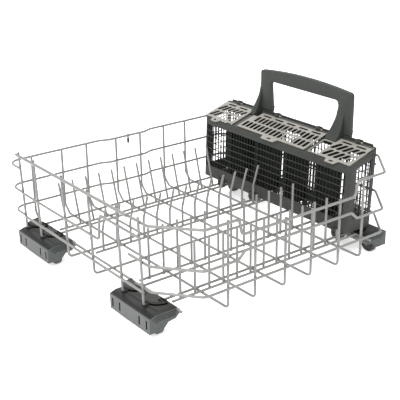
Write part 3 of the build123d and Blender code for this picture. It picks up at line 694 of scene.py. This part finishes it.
class RACK_OT_housings(bpy.types.Operator):
    """Builds the four roller housings"""
    bl_idname = "rack.housings"
    bl_label = "Roller housings"

    # Slots of the outer face: distance from a wheel, middle height, growth along and up, place and reach
    # of their corners, and the box of the near-black block on their floor, which paints the shade in them
    slot_offset, slot_z, slot_growth = 10.5, 27.0, (0.7, 0.5)
    slot_x, slot_reach = 271.5, (2.0, 9.0)
    floor_xs, floor_half, floor_zs = (271.9, 275.3), 2.2, (19.0, 35.0)
    # Raised deck under the clips, and section of the saddle over the foot of a wire
    deck_xs, deck_half, deck_low = (223.5, 255.0), 54.0, 44.5
    saddle = ((249, 44.5), (263.4, 44.5), (263.4, 47.4), (262.6, 48.4), (255.5, 48.4), (251, 46.2),
              (249, 46.2))
    saddle_half = 3.0
    # Ridges along the top: outer side, half length and drop below the top
    ridges = ((269.0, 52.0, 5 / 3), (256.0, 50.0, 0.0))
    ridge_width = 1.6
    # End cap, from the outer face, in a darker copy of the housing plastic that paints the shade on the end
    # faces;
    # a groove in it, drawn as a near-black line of painted shade, with the share of its drop that moves a
    # point inwards
    cap = ((1.2, 14.2), (1.2, 40.2), (12.2, 44.2), (53.2, 44.2), (53.2, 37.2), (60.2, 37.2), (60.2, 34.4),
           (51.5, 26.6), (36.6, 24.6), (27.4, 15.2), (21.6, 14.2))
    groove = ((3, 40.4, 1), (12, 44.4, 0.5), (52, 44.4, 0), (52, 43.4, 0), (12.2, 43.4, 0.5), (3, 39.2, 1))
    groove_drops = (2.6, 5.4, 8.2, 11.0)

    def widen_slots(self, shell, slot_ys):
        """Gives the slots of the outer face their full width and height."""
        for vert in shell.verts:
            x, y, z = vert.co
            near = [s for s in slot_ys if abs(y - s) < self.slot_reach[0]]
            if near and abs(x) > self.slot_x and abs(z - self.slot_z) < self.slot_reach[1]:
                vert.co.y += math.copysign(self.slot_growth[0], y - near[0])
                vert.co.z += math.copysign(self.slot_growth[1], z - self.slot_z)

    def execute(self, context):
        for corner, mid_y, held, side in corners():
            node = "housing_" + corner
            slot_ys = [y for w in about(mid_y, WHEEL_OFFSET) for y in about(w, self.slot_offset)]
            shell = solid_copy(node)
            self.widen_slots(shell, slot_ys)
            # The housing's plastic carries painted shade on its upper side
            moulded(node + "_moulded", [shell], "housing", 0.7, "rack", "housing", node, segments=3)
            xs = [side * x for x in self.floor_xs]
            # Near-black blocks on the slot floors: painted shade in the slots
            parts = [block(xs, about(y, self.floor_half), self.floor_zs) for y in slot_ys]
            moulded(node + "_slots", parts, "recess", 0, "rack", "housing")
            xs = [side * x for x in self.deck_xs]
            parts = [block(xs, about(mid_y, self.deck_half), (self.deck_low, DECK_Z))]
            parts += [plate(self.saddle, *about(y, self.saddle_half), lambda x, z, v: (side * x, v, z))
                      for y in held]
            moulded(node + "_deck", parts, "deck", 0.4, "rack", "housing")
            parts = []
            for x, half, drop in self.ridges:
                z = HOUSING_TOP_Z - drop
                parts.append(block((side * x, side * (x - self.ridge_width)), about(mid_y, half),
                                   (z - 1, z + 0.7)))
            moulded(node + "_ridges", parts, "housing", 0.3, "rack", "housing")
            parts, shade_lines = [], []
            for out in (-1, 1):
                def place(u, z, h):
                    """Point of an end cap: inwards from the outer face, upwards and out of the end."""
                    return side * (HOUSING_FACE_X - u), mid_y + out * (HOUSING_HALF_LENGTH + h), z
                parts.append(plate(self.cap, -0.4, 0.5, place))
                # Near-black lines of the shade colour on each end cap: painted shade of its grooves
                for drop in self.groove_drops:
                    line = [(u + share * drop, z - drop) for u, z, share in self.groove]
                    shade_lines.append(plate(line, 0.3, 0.7, place))
            # End caps in a darker copy of the housing plastic: painted shade on the housing's ends
            moulded(node + "_ends", parts, "end_cap", 0.2, "rack", "housing")
            moulded(node + "_grooves", shade_lines, "shade", 0, "rack", "housing")
        return {"FINISHED"}


class RACK_OT_clips(bpy.types.Operator):
    """Builds the half-round clips over the wires"""
    bl_idname = "rack.clips"
    bl_label = "Wire clips"

    # Lower plate's thickness, share of the outline of the near-black plate of painted shadow under the clip,
    # and shift and share of the upper plate's outline
    lower, gap_share, upper_shift, upper_share = 2.2, (1.12, 1.08), 1.5, 0.86
    # Posts on both sides of the wire: distance and half width
    post_offset, post_half = 8.8, 3.0
    # Plan of the window, a near-black plate of painted shade, places of its teeth, and places and half width
    # of the near-black blocks of painted shade at the straight side
    window = ((0.6, -19.5), (8.5, -17.0), (10.0, -9.0), (0.6, -9.0))
    tooth_xs, tooth_ys, tooth_half = (2.0, 7.0), (-16.5, -12.5), 0.8
    gap_xs, gap_ys, gap_half = (CLIP_X - 2.6, CLIP_X + 1.4), (-20.0, -15.0, -10.0, -5.0, 21.0), 1.3

    def execute(self, context):
        wire = sizes_mm()[0]
        low = cross_z(wire) + wire / 2 + WIRE_ROOM
        top = low + CLIP_THICKNESS
        half_round = arc((0, 0), (CLIP_REACH, CLIP_LENGTH / 2), 48, -12, 12)
        shadow_outline = [(u * self.gap_share[0], v * self.gap_share[1]) for u, v in half_round]
        inner = [(self.upper_shift + self.upper_share * u, self.upper_share * v) for u, v in half_round]
        for corner, _, held, side in corners():
            parts, under = [], []
            for y in held:
                mid = y + CLIP_SHIFT

                def place(u, v, z):
                    """Point of a clip: outwards from its straight side, along the rack and upwards."""
                    return side * (CLIP_X + u), mid + v, z

                parts.append(plate(half_round, low, low + self.lower, place))
                # Near-black plate a little wider than the clip, under it: painted shadow
                under.append(plate(shadow_outline, DECK_Z - 0.3, low + 1.1, place))
                parts.append(plate(inner, low + 1.5, top, place))
                xs = about(side * (CLIP_X + CLIP_REACH / 2), self.post_half)
                parts += [block(xs, about(v, self.post_half), (HOUSING_TOP_Z, low + 1))
                          for v in about(y, self.post_offset)]
                # Near-black plate in the window: painted shade
                under.append(plate(self.window, low + 1, top + 0.15, place))
                for v in self.tooth_ys:
                    tooth = rect(self.tooth_xs[0], v - self.tooth_half, self.tooth_xs[1], v + self.tooth_half)
                    parts.append(plate(tooth, low + 1, top + 0.5, place))
                # Near-black blocks at the straight side: painted shade
                xs = [side * x for x in self.gap_xs]
                under += [block(xs, about(mid + v, self.gap_half), (HOUSING_TOP_Z, low + 2.6))
                          for v in self.gap_ys]
            name = "wire_clips_" + corner
            moulded(name + "_moulded", parts, "clip", 0.5, "rack", "clip", name)
            moulded(name + "_gaps", under, "recess", 0, "rack", "clip")
        return {"FINISHED"}


class RACK_OT_wheels(bpy.types.Operator):
    """Builds the eight wheels, each on its own body"""
    bl_idname = "rack.wheels"
    bl_label = "Wheels"

    # Ring of (distance along the axle, radius) round a wheel's section; box and count of its spokes
    section = ((-6, 2.62), (-6, 5.5), (-5.6, 6), (-4, 6.4), (-3.6, 12.2), (-5.2, 12.8), (-5.4, 15.2),
               (-4.6, 16.2), (-3.2, 16.5), (3.2, 16.5), (4.6, 16.2), (5.4, 15.2), (5.2, 12.8), (3.6, 12.2),
               (4, 6.4), (5.6, 6), (6, 5.5), (6, 2.62))
    spoke, spokes = ((-4.6, 4.6), (-1, 1), (5.5, 12.6)), 6

    def execute(self, context):
        for corner, mid_y, _, side in corners():
            for number, offset in ((1, WHEEL_OFFSET), (2, -WHEEL_OFFSET)):
                name = f"wheel_{corner}_{number}"
                middle = Vector((side * WHEEL_X, mid_y + offset, WHEEL_Z))
                parts = [turned(self.section, middle)]
                for i in range(self.spokes):
                    spoke = block(*self.spoke)
                    turn = Matrix.Rotation(math.tau * i / self.spokes, 3, "X")
                    bmesh.ops.rotate(spoke, matrix=turn, verts=spoke.verts)
                    bmesh.ops.translate(spoke, vec=middle, verts=spoke.verts)
                    parts.append(spoke)
                moulded(name + "_moulded", parts, "wheel", 0.3, name, "wheel", name)
        return {"FINISHED"}


# Cutlery basket

def inner_x(z):
    """Outside of the wall that faces the dishes."""
    return INNER_XS[0] + (INNER_XS[1] - INNER_XS[0]) * (z - BASKET_FLOOR_Z) / (INNER_RIM_Z - BASKET_FLOOR_Z)


def outer_x(z):
    """Outside of the wall that faces the rack's side."""
    return OUTER_XS[0] + (OUTER_XS[1] - OUTER_XS[0]) * (z - BASKET_FLOOR_Z) / (OUTER_RIM_Z - BASKET_FLOOR_Z)


def rim_z(x):
    """Height of the sloping rim."""
    return INNER_RIM_Z + TOP_SLOPE * (x - INNER_XS[1])


def along_rim(x):
    """Distance up the sloping rim for a place across the rack."""
    return (x - INNER_XS[1]) / math.cos(TILT)


def on_rim(u, v, h):
    """Rack point of a place on the sloping rim: up the slope, along the rack and square to it."""
    return Vector((INNER_XS[1] + u * math.cos(TILT) - h * math.sin(TILT), v,
                   INNER_RIM_Z + u * math.sin(TILT) + h * math.cos(TILT)))


def in_section(u, h, v):
    """Rack point of a place in a section across the sloping rim."""
    return on_rim(u, v, h)


def across(x, z, y):
    """Rack point of a place in an upright section across the rack."""
    return Vector((x, y, z))


def lengthwise(y, z, x):
    """Rack point of a place in an upright section along the rack."""
    return Vector((x, y, z))


def basket_walls(steps=6):
    """Wall surface of the basket: a low band, a rim band and posts, with open grid windows."""
    made = bmesh.new()
    ring = []

    def column(place, window):
        """Adds a column of four points, at the edges of both bands; a window may follow it."""
        x_rim, _ = place(INNER_RIM_Z)
        top = rim_z(min(max(x_rim, INNER_XS[1]), OUTER_XS[1]))
        band = OUTER_BAND if x_rim > outer_x(INNER_RIM_Z) - 0.1 else RIM_BAND
        heights = (BASKET_FLOOR_Z, BASKET_FLOOR_Z + LOW_BAND, top - band, top)
        ring.append(([made.verts.new((*place(z), z)) for z in heights], window))

    def corner(x_at, in_x, y, in_y, radius, start, window):
        """Adds the columns of a rounded corner between two walls; a window may follow its last one."""
        for i in range(steps + 1):
            a = start + math.pi / 2 * i / steps
            column(lambda z: (x_at(z) + radius * (in_x + math.cos(a)), y + radius * (in_y + math.sin(a))),
                   window and i == steps)

    def post(share, y, window):
        """Adds a column of an end wall at a share of its width."""
        column(lambda z: (inner_x(z) + share * (outer_x(z) - inner_x(z)), y), window)

    front, back = BASKET_YS
    corner(inner_x, 1, front, 1, CORNER_R, math.pi, False)
    post(0.3, front, True)
    post(0.88, front, False)
    corner(outer_x, -1, front, 1, OUTER_CORNER_R, -math.pi / 2, True)
    corner(outer_x, -1, back, -1, OUTER_CORNER_R, 0, False)
    post(0.88, back, True)
    post(0.3, back, False)
    corner(inner_x, 1, back, -1, CORNER_R, math.pi / 2, True)
    for (here, window), (there, _) in zip(ring, ring[1:] + ring[:1]):
        for i in range(3):
            if not (window and i == 1):
                made.faces.new((here[i], there[i], there[i + 1], here[i + 1]))
    return made


def grid_bars(name, size, first, count, step, lean=0.0, look="basket"):
    """Row of equal bars; a lean tilts each bar in the section across the rack."""
    made = block(*[about(0, s / 2) for s in size])
    bmesh.ops.rotate(made, matrix=Matrix.Rotation(lean, 3, "Y"), verts=made.verts)
    bmesh.ops.translate(made, vec=first, verts=made.verts)
    item = mesh_object(name, made)
    run_tree(item, "Grid bars", look, {"Count": count, "Step": Vector(step) * MM})
    settle(item, "rack", "basket")


class RACK_OT_basket(bpy.types.Operator):
    """Builds the cutlery basket with its fine grid"""
    bl_idname = "rack.basket"
    bl_label = "Cutlery basket"

    # Half thickness and foot of the partitions, and heights of the windows
    partition_half, foot_z, low_z = 1.2, BASKET_FLOOR_Z + 1, BASKET_FLOOR_Z + LOW_BAND
    inner_high, outer_high = INNER_RIM_Z - RIM_BAND, OUTER_RIM_Z - OUTER_BAND
    # Closed panel behind the handle's rear leg; bars across the top: inner end, and both sides
    panel_ys = (118.0, PARTITION_YS[0])
    crossbars = ((1.0, 122.4, 136.4), (1.0, -87.6, -79.6), (along_rim(GUSSET_X), -116.6, -79.6))
    # Lobes under the inner wall, with a hole beside the middle, and posts under the outer wall
    lobe_z, lobe_top, lobe_radii, lobe_xs = 51.0, 60.0, (11.0, 10.2), (INNER_XS[0] - 3.5, INNER_XS[0] + 2.5)
    hole_shift, hole_z, hole_radii = 4.0, 52.0, (1.8, 1.8)
    post_xs, post_half, post_top = (238.0, 244.0), 5.5, 58.0
    # Thickness and height of the level bars, then of the end walls: bar size, middle height and pitch
    row_depth, row_height = 1.4, 1.3
    end_bar, end_z, end_pitch = (1.5, 1.6, 117.0), 133.5, 8.0

    def build_walls(self):
        """Walls of one thickness with softened edges."""
        shell = mesh_object("basket_walls", basket_walls())
        shell.data.materials.append(finish("basket"))
        thick = shell.modifiers.new("Wall", "SOLIDIFY")
        thick.thickness, thick.offset, thick.use_even_offset = BASKET_WALL * MM, -1, False
        soften(shell, 0.5, 2, math.radians(30))
        bake(shell)
        smooth(shell)
        settle(shell, "rack", "basket", "cutlery_basket")

    def build_fittings(self):
        """Partitions, panel, crossbars, hinge strip, bearings and feet."""
        front, back = BASKET_YS
        low, high = self.foot_z, self.outer_high
        hinge_u, rim_u = along_rim(HINGE_X), along_rim(OUTER_XS[1])
        wall_u = along_rim(OUTER_XS[1] - BASKET_WALL)
        outline = [(inner_x(low) + 1, low), (outer_x(low) - 1, low),
                   (outer_x(OUTER_RIM_Z) - 1, OUTER_RIM_Z - 2), (INNER_XS[1] + 1, INNER_RIM_Z - 2)]
        # Partitions in the near-black shade colour: painted shade inside the basket
        parts = [plate(outline, *about(y, self.partition_half), across) for y in PARTITION_YS]
        moulded("basket_partitions", parts, "shade", 0.3, "rack", "basket")
        panel = [(outer_x(z) - inset, z) for z, inset in ((low, 2), (low, 0.2), (high, 0.2), (high, 2))]
        parts = [plate(panel, *self.panel_ys, across)]
        parts += [plate(rect(u, y0, rim_u - 1, y1), -2.5, 0, on_rim) for u, y0, y1 in self.crossbars]
        parts.append(plate(rect(wall_u, -4, rim_u, 4.5), front + 9, back - 9, in_section))
        bore_r, lip = HINGE_R + 0.08, HINGE_R - 0.4
        bearing = [(hinge_u - 4, -1.4), (hinge_u - 4, 7.6), (hinge_u - lip, 8.6), (hinge_u - lip, HINGE_RISE),
                   *arc((hinge_u, HINGE_RISE), (bore_r, bore_r), 16, 9, 15), (hinge_u + lip, HINGE_RISE),
                   (hinge_u + lip, 8.6), (hinge_u + 3, 8.6), (rim_u, 6.5), (rim_u, -11), (wall_u, -11)]
        parts += [plate(bearing, *about(y, KNOB_WIDTH / 2), in_section) for y in KNOB_YS]
        wire = sizes_mm()[0]
        seat_z, groove = cross_z(wire) + wire / 2 + WELD, wire / 2 + WIRE_ROOM
        for y in (CROSS_YS[1], CROSS_YS[2], CROSS_YS[-1]):
            edge = arc((y, self.lobe_z), self.lobe_radii, 40, 21, 39)
            lobe = [(y - self.lobe_radii[0], self.lobe_top), *[p for p in edge if p[0] < y - groove],
                    (y - groove, seat_z), (y + groove, seat_z), *[p for p in edge if p[0] > y + groove],
                    (y + self.lobe_radii[0], self.lobe_top)]
            hole = arc((y + self.hole_shift, self.hole_z), self.hole_radii, 12)
            parts.append(plate(lobe, *self.lobe_xs, lengthwise, [hole]))
        parts += [block(self.post_xs, about(y, self.post_half), (seat_z, self.post_top))
                  for y in CROSS_YS[2:4]]
        moulded("basket_fittings", parts, "basket", 0.4, "rack", "basket")

    def build_long_wall(self, name, x_at, high, inward, sizes):
        """Grid of a long wall: close upright bars, in near-black painted shade, behind thin level bars."""
        front, back = BASKET_YS
        pitch, rows = sizes.grid_pitch / MM, sizes.grid_rows
        width, depth, sunk, lap = 1.9, 1.6, 0.9, 1.0
        low, top = self.low_z - lap, high + lap
        lean = math.atan((x_at(top) - x_at(low)) / (top - low))
        count = int((back - front - 2 * CORNER_R) / pitch)
        first = (x_at((low + top) / 2) + inward * (sunk + depth / 2),
                 (front + back - (count - 1) * pitch) / 2, (low + top) / 2)
        # Upright bars in the near-black shade colour: painted shade behind the level bars
        grid_bars(name + "_bars", (depth, width, (top - low) / math.cos(lean)), first, count, (0, pitch, 0),
                  lean, "shade")
        step, run = (high - self.low_z) / rows, (x_at(high) - x_at(self.low_z)) / rows
        first = (x_at(self.low_z + step) + inward * 0.6, (front + back) / 2, self.low_z + step)
        grid_bars(name + "_rows", (self.row_depth, back - front - 2 * CORNER_R, self.row_height), first,
                  rows - 1, (run, 0, step))

    def execute(self, context):
        sizes = context.scene.rack_sizes
        front, back = BASKET_YS
        self.build_walls()
        self.build_fittings()
        self.build_long_wall("inner", inner_x, self.inner_high, 1, sizes)
        self.build_long_wall("outer", outer_x, self.outer_high, -1, sizes)
        width = OUTER_XS[0] - INNER_XS[1]
        left, right = INNER_XS[1] + 0.24 * width, OUTER_XS[1] - 0.1 * width
        step = (self.inner_high - self.low_z) / sizes.grid_rows
        for name, y in (("front_end", front + 1), ("back_end", back - 1)):
            grid_bars(name + "_bars", self.end_bar, (left + self.end_pitch / 2, y, self.end_z),
                      int((right - left) / self.end_pitch), (self.end_pitch, 0, 0))
            grid_bars(name + "_rows", (right - left, self.row_depth, self.row_height),
                      ((left + right) / 2, y, self.low_z + step), sizes.grid_rows, (0, 0, step))
        # Floor bars and runners in the near-black shade colour: painted shade on the basket's floor
        z = BASKET_FLOOR_Z + 0.6
        grid_bars("floor_bars", (66, 1.6, 1.0), (212, front + 10, z), 51, (0, 8.18, 0), look="shade")
        grid_bars("floor_runners", (1.6, back - front - 4, 1.0), (182, (front + back) / 2, z), 8, (8.6, 0, 0),
                  look="shade")
        return {"FINISHED"}


class RACK_OT_lids(bpy.types.Operator):
    """Builds the three slotted lids on their hinge rods"""
    bl_idname = "rack.lids"
    bl_label = "Lids"

    # Ends, back of the hinge side, back of the slots, pitch and slant of the slots, slots along the
    # hinge, knobs and tab
    lids = (("lid_rear", (137.4, 228.4), 228.4, 228.4, 13.0, -5.3, 2, KNOB_YS[:1], (176.4, 201.4)),
            ("lid_middle", (-78.6, 121.4), 109.0, 121.4, 12.0, 0.0, 5, KNOB_YS[1:3], (-2.6, 38.4)),
            ("lid_front", (-198.6, -88.6), -117.6, -117.0, 14.6, -5.3, 2, KNOB_YS[3:], (-169.6, -141.6)))
    # Heights above the rim of the plate, of the skirts under it and of the darker strip at the hinge
    plate_hs, skirt_hs, strip_hs = (1.6, 2.7), (0.2, 1.9), (2.5, 2.95)
    # Two rows of slots: places, length and bar between two; then place, pitch and size of the hinge slots
    slot_xs, slot_length, rib = (199.5, 222.5), 20.5, 3.2
    edge_x, edge_pitch, edge_slot = 238.5, 36.0, (5.0, 25.0)
    # Tab's reach and the shift and size of its hole; room round a knob; rounding of the outline
    tab_reach, hole_shift, hole = 11.0, 4.5, (5.5, 10.0)
    room, knob_depth, rounding = KNOB_WIDTH / 2 + 1, 6.5, 1.5

    def outline(self, low, high, hinge_back, knobs, tab):
        """Outline of a lid on the rim, with notches for the knobs and a tab."""
        lid_u, notch_u, hinge_u = along_rim(LID_INNER_X), along_rim(LID_NOTCH_X), along_rim(HINGE_X)
        deep_u, tab_u = hinge_u - self.knob_depth, lid_u - self.tab_reach
        points = [(lid_u, low), (hinge_u, low)]
        for y in sorted(knobs):
            a, b = about(y, self.room)
            points += [(hinge_u, a), (deep_u, a), (deep_u, b), (hinge_u, b)]
        points.append((hinge_u, hinge_back))
        if hinge_back != high:
            points += [(notch_u, hinge_back), (notch_u, high)]
        points += [(lid_u, high), (lid_u, tab[1] + 2), (tab_u, tab[1] - 3), (tab_u, tab[0] + 3),
                   (lid_u, tab[0] - 2)]
        return loop(points, self.rounding)

    def execute(self, context):
        lid_u, notch_u, hinge_u = along_rim(LID_INNER_X), along_rim(LID_NOTCH_X), along_rim(HINGE_X)
        rod = arc((hinge_u, HINGE_RISE), (HINGE_R, HINGE_R), 20)
        for name, (low, high), hinge_back, slots_back, pitch, slant, edge_count, knobs, tab in self.lids:
            holes = [slot_loop(lid_u - self.hole_shift, sum(tab) / 2, *self.hole)]
            count = int((slots_back - low - 3 + slant) / pitch)
            first = (low + slots_back) / 2 - (count - 1) * pitch / 2
            for x, limit in zip(self.slot_xs, (high, hinge_back - 6)):
                ys = [first + i * pitch for i in range(count)]
                holes += [slot_loop(along_rim(x), y, self.slot_length, pitch - self.rib, slant)
                          for y in ys if y < limit]
            first = (low + hinge_back - (edge_count - 1) * self.edge_pitch) / 2
            holes += [slot_loop(along_rim(self.edge_x), first + i * self.edge_pitch, *self.edge_slot)
                      for i in range(edge_count)]
            if slots_back != high:
                window = rect(lid_u + 2, slots_back + 1.5, notch_u - 3, high - 2)
                holes.append(loop(window, self.rounding))
            border = self.outline(low, high, hinge_back, knobs, tab)
            parts = [plate(border, *self.plate_hs, on_rim, holes)]
            for skirt in ((lid_u + 0.3, low + 0.3, notch_u, low + 1.6),
                          (lid_u + 0.3, high - 1.6, notch_u, high - 0.3),
                          (lid_u + 0.3, low + 0.3, lid_u + 1.6, high - 0.3)):
                parts.append(plate(rect(*skirt), *self.skirt_hs, on_rim))
            parts += [plate(rod, *about(y, self.room + 2), in_section) for y in knobs]
            moulded(name + "_moulded", parts, "lid", 0.4, name, "lid", name)
            gaps = [v for y in sorted(knobs) for v in about(y, self.room + 0.6)]
            stops = [low + 0.6, *gaps, hinge_back - 0.6]
            parts = [plate(rect(hinge_u - 6, y0, hinge_u - 0.3, y1), *self.strip_hs, on_rim)
                     for y0, y1 in zip(stops[::2], stops[1::2])]
            moulded(name + "_strip", parts, "basket", 0, name, "lid")
        return {"FINISHED"}


def bow(a, b, c, steps=10):
    """Points of a bowed line through three places, without its ends."""
    return [tuple(p * (1 - t) * (1 - 2 * t) + q * 4 * t * (1 - t) + r * t * (2 * t - 1)
                  for p, q, r in zip(a, b, c)) for t in [i / steps for i in range(1, steps)]]


def gusset(profile, low_y, high_y, edge, leg_z):
    """Closed shell that rises from the rim to a leg and stays inside the leg's edge."""
    low_x, high_x, room = 251.9, 253.4, 0.4
    made = bmesh.new()
    rings = []
    for x, z in profile:
        back_x = low_x if z < leg_z + room else high_x
        back_z = max(z, rim_z(low_x) + room + 0.3 * len(rings))
        (z0, y0), (z1, y1) = edge[:2] if z < edge[1][0] else edge[1:]
        top_y = min(high_y, y0 + (y1 - y0) * max(0.0, (z - z0) / (z1 - z0)) - 0.6)
        rings.append([made.verts.new(p) for p in ((x, low_y, z), (x, top_y, z), (back_x, top_y, back_z),
                                                  (back_x, low_y, back_z))])
    made.faces.new(rings[0][::-1])
    made.faces.new(rings[-1])
    return skin(made, rings)


class RACK_OT_handle(bpy.types.Operator):
    """Builds the carrying handle"""
    bl_idname = "rack.handle"
    bl_label = "Carrying handle"

    # Thickness, heights of the legs' foot and of the feet's low end, and feet along the rack
    xs, leg_z, foot_z, foot_ys = (252.4, 262.4), OUTER_RIM_Z + 4.5, 165.0, ((92, 138), (-131.6, -86))
    mid_z = (leg_z + 277) / 2
    # Bowed edges of the legs as (along the rack, height): outside of the rear one, inside of the front one
    rear_edge = ((138, leg_z), (130, mid_z), (128, 291))
    front_edge = ((-86, leg_z), (-94.6, mid_z), (-96.6, 270))
    # Both ends of each gusset
    rear_gusset, front_gusset = (122.9, 135.9), (-115.1, -87)

    def execute(self, context):
        start = self.leg_z + 0.2
        outline = [(138, start), *bow(*self.rear_edge), (128, 291), (126.5, 296), (121, 298),
                   *bow((121, 298), (-1.8, 305), (-124.6, 298), 24), (-124.6, 298), (-130, 296),
                   (-131.6, 291), (-131.6, start), (-86, start), *bow(*self.front_edge), (-96.6, 270),
                   (-95, 275), (-89.6, 277), (90, 277), (95, 275), (97, 270), (92, start)]
        arch = plate(outline, *self.xs, lengthwise)
        moulded("handle_arch", [arch], "handle", 2.6, "rack", "handle", "basket_handle", segments=4)
        inner, outer = 0.2, 3.7
        leg_x, foot_x, high_x = outer_x(self.leg_z), outer_x(self.foot_z), self.xs[1]
        foot = [(leg_x + inner, self.leg_z + 2), (foot_x + inner, self.foot_z), (foot_x + outer, self.foot_z),
                (leg_x + outer, self.leg_z), (high_x, self.leg_z + 10), (high_x - 3, self.leg_z + 12)]
        parts = [plate(foot, *ys, across) for ys in self.foot_ys]
        low, top = (GUSSET_X, rim_z(GUSSET_X) + 3.5), (252.8, 262)
        hollow = [(GUSSET_X, rim_z(GUSSET_X) + 0.4), low, *bow(low, (244.2, 227), top), top]
        for ys, edge in ((self.rear_gusset, self.rear_edge), (self.front_gusset, self.front_edge)):
            parts.append(gusset(hollow, *ys, [(z, y) for y, z in edge], self.leg_z))
        moulded("handle_feet", parts, "handle", 0.8, "rack", "handle", segments=3)
        return {"FINISHED"}


# Stage

class RACK_OT_stage(bpy.types.Operator):
    """Sets the floor, the lights and the camera of the photograph"""
    bl_idname = "rack.stage"
    bl_label = "Stage"

    floor_reach, floor_glow, world_strength = 8.0, 0.5, 1.05
    # Name, place, power and size of each light
    lights = (("key", (-1.9, -1.2, 2.2), 90, 1.3), ("fill", (1.6, -1.8, 1.8), 8, 2.0),
              ("back", (0.6, 2.0, 2.4), 45, 2.0))
    aim = Vector((0, 0, 0.12))
    camera_place = (-0.9601, -1.2597, 0.7434)
    azimuth, elevation, roll = -37.09, 21.88, -0.82
    lens, sensor = 80.73, 36.0

    def execute(self, context):
        scene = context.scene
        mesh = bpy.data.meshes.new("stage_floor")
        reach = self.floor_reach
        mesh.from_pydata([(u, v, 0) for u, v in rect(-reach, -reach, reach, reach)], [], [(0, 1, 2, 3)])
        floor = finish("floor")
        glow = floor.node_tree.nodes["Principled BSDF"].inputs
        glow["Emission Color"].default_value = (1, 1, 1, 1)
        glow["Emission Strength"].default_value = self.floor_glow
        mesh.materials.append(floor)
        new_object("stage_floor", mesh)
        world = bpy.data.worlds.new("Studio")
        world.use_nodes = True
        sky = world.node_tree.nodes["Background"].inputs
        sky["Color"].default_value, sky["Strength"].default_value = (1, 1, 1, 1), self.world_strength
        scene.world = world
        for name, place, power, size in self.lights:
            light = bpy.data.lights.new(name, "AREA")
            light.energy, light.size = power, size
            lamp = new_object(name, light)
            lamp.location = place
            lamp.rotation_euler = (self.aim - Vector(place)).to_track_quat("-Z", "Y").to_euler()
        a, e, r = (math.radians(v) for v in (self.azimuth, self.elevation, self.roll))
        back = Vector((math.sin(a) * math.cos(e), -math.cos(a) * math.cos(e), math.sin(e)))
        right = Vector((math.cos(a), math.sin(a), 0))
        up = back.cross(right)
        right, up = right * math.cos(r) + up * math.sin(r), up * math.cos(r) - right * math.sin(r)
        data = bpy.data.cameras.new("photo_camera")
        data.lens, data.sensor_width = self.lens, self.sensor
        camera = new_object("photo_camera", data)
        camera.matrix_world = Matrix((right, up, back)).transposed().to_4x4()
        camera.location = self.camera_place
        scene.camera = camera
        scene.view_settings.view_transform = "Standard"
        return {"FINISHED"}


PIECES = (RACK_OT_length_wires, RACK_OT_cross_wires, RACK_OT_front_rails, RACK_OT_rear_rails,
          RACK_OT_side_rails, RACK_OT_tine_rows, RACK_OT_housings, RACK_OT_clips, RACK_OT_wheels,
          RACK_OT_basket, RACK_OT_lids, RACK_OT_handle, RACK_OT_stage)


class RACK_PT_panel(bpy.types.Panel):
    """Lists the settings and the pieces of the rack"""
    bl_label = "Dish rack"
    bl_idname = "RACK_PT_panel"
    bl_space_type = "VIEW_3D"
    bl_region_type = "UI"
    bl_category = "Dish rack"

    def draw(self, context):
        for group in (context.scene.rack_sizes, context.scene.rack_colours):
            box = self.layout.box()
            for name in group.bl_rna.properties.keys():
                if name not in ("rna_type", "name"):
                    box.prop(group, name)
        for piece in PIECES:
            self.layout.operator(piece.bl_idname)


CLASSES = (RackSizes, RackColours, *PIECES, RACK_PT_panel)


def register():
    """Registers the settings, operators and panel."""
    for item in CLASSES:
        bpy.utils.register_class(item)
    bpy.types.Scene.rack_sizes = PointerProperty(type=RackSizes)
    bpy.types.Scene.rack_colours = PointerProperty(type=RackColours)


def unregister():
    """Takes them away again."""
    del bpy.types.Scene.rack_colours
    del bpy.types.Scene.rack_sizes
    for item in reversed(CLASSES):
        bpy.utils.unregister_class(item)


def main():
    """Builds every piece and the stage."""
    register()
    for piece in PIECES:
        group, name = piece.bl_idname.split(".")
        getattr(getattr(bpy.ops, group), name)()


if __name__ == "__main__":
    main()
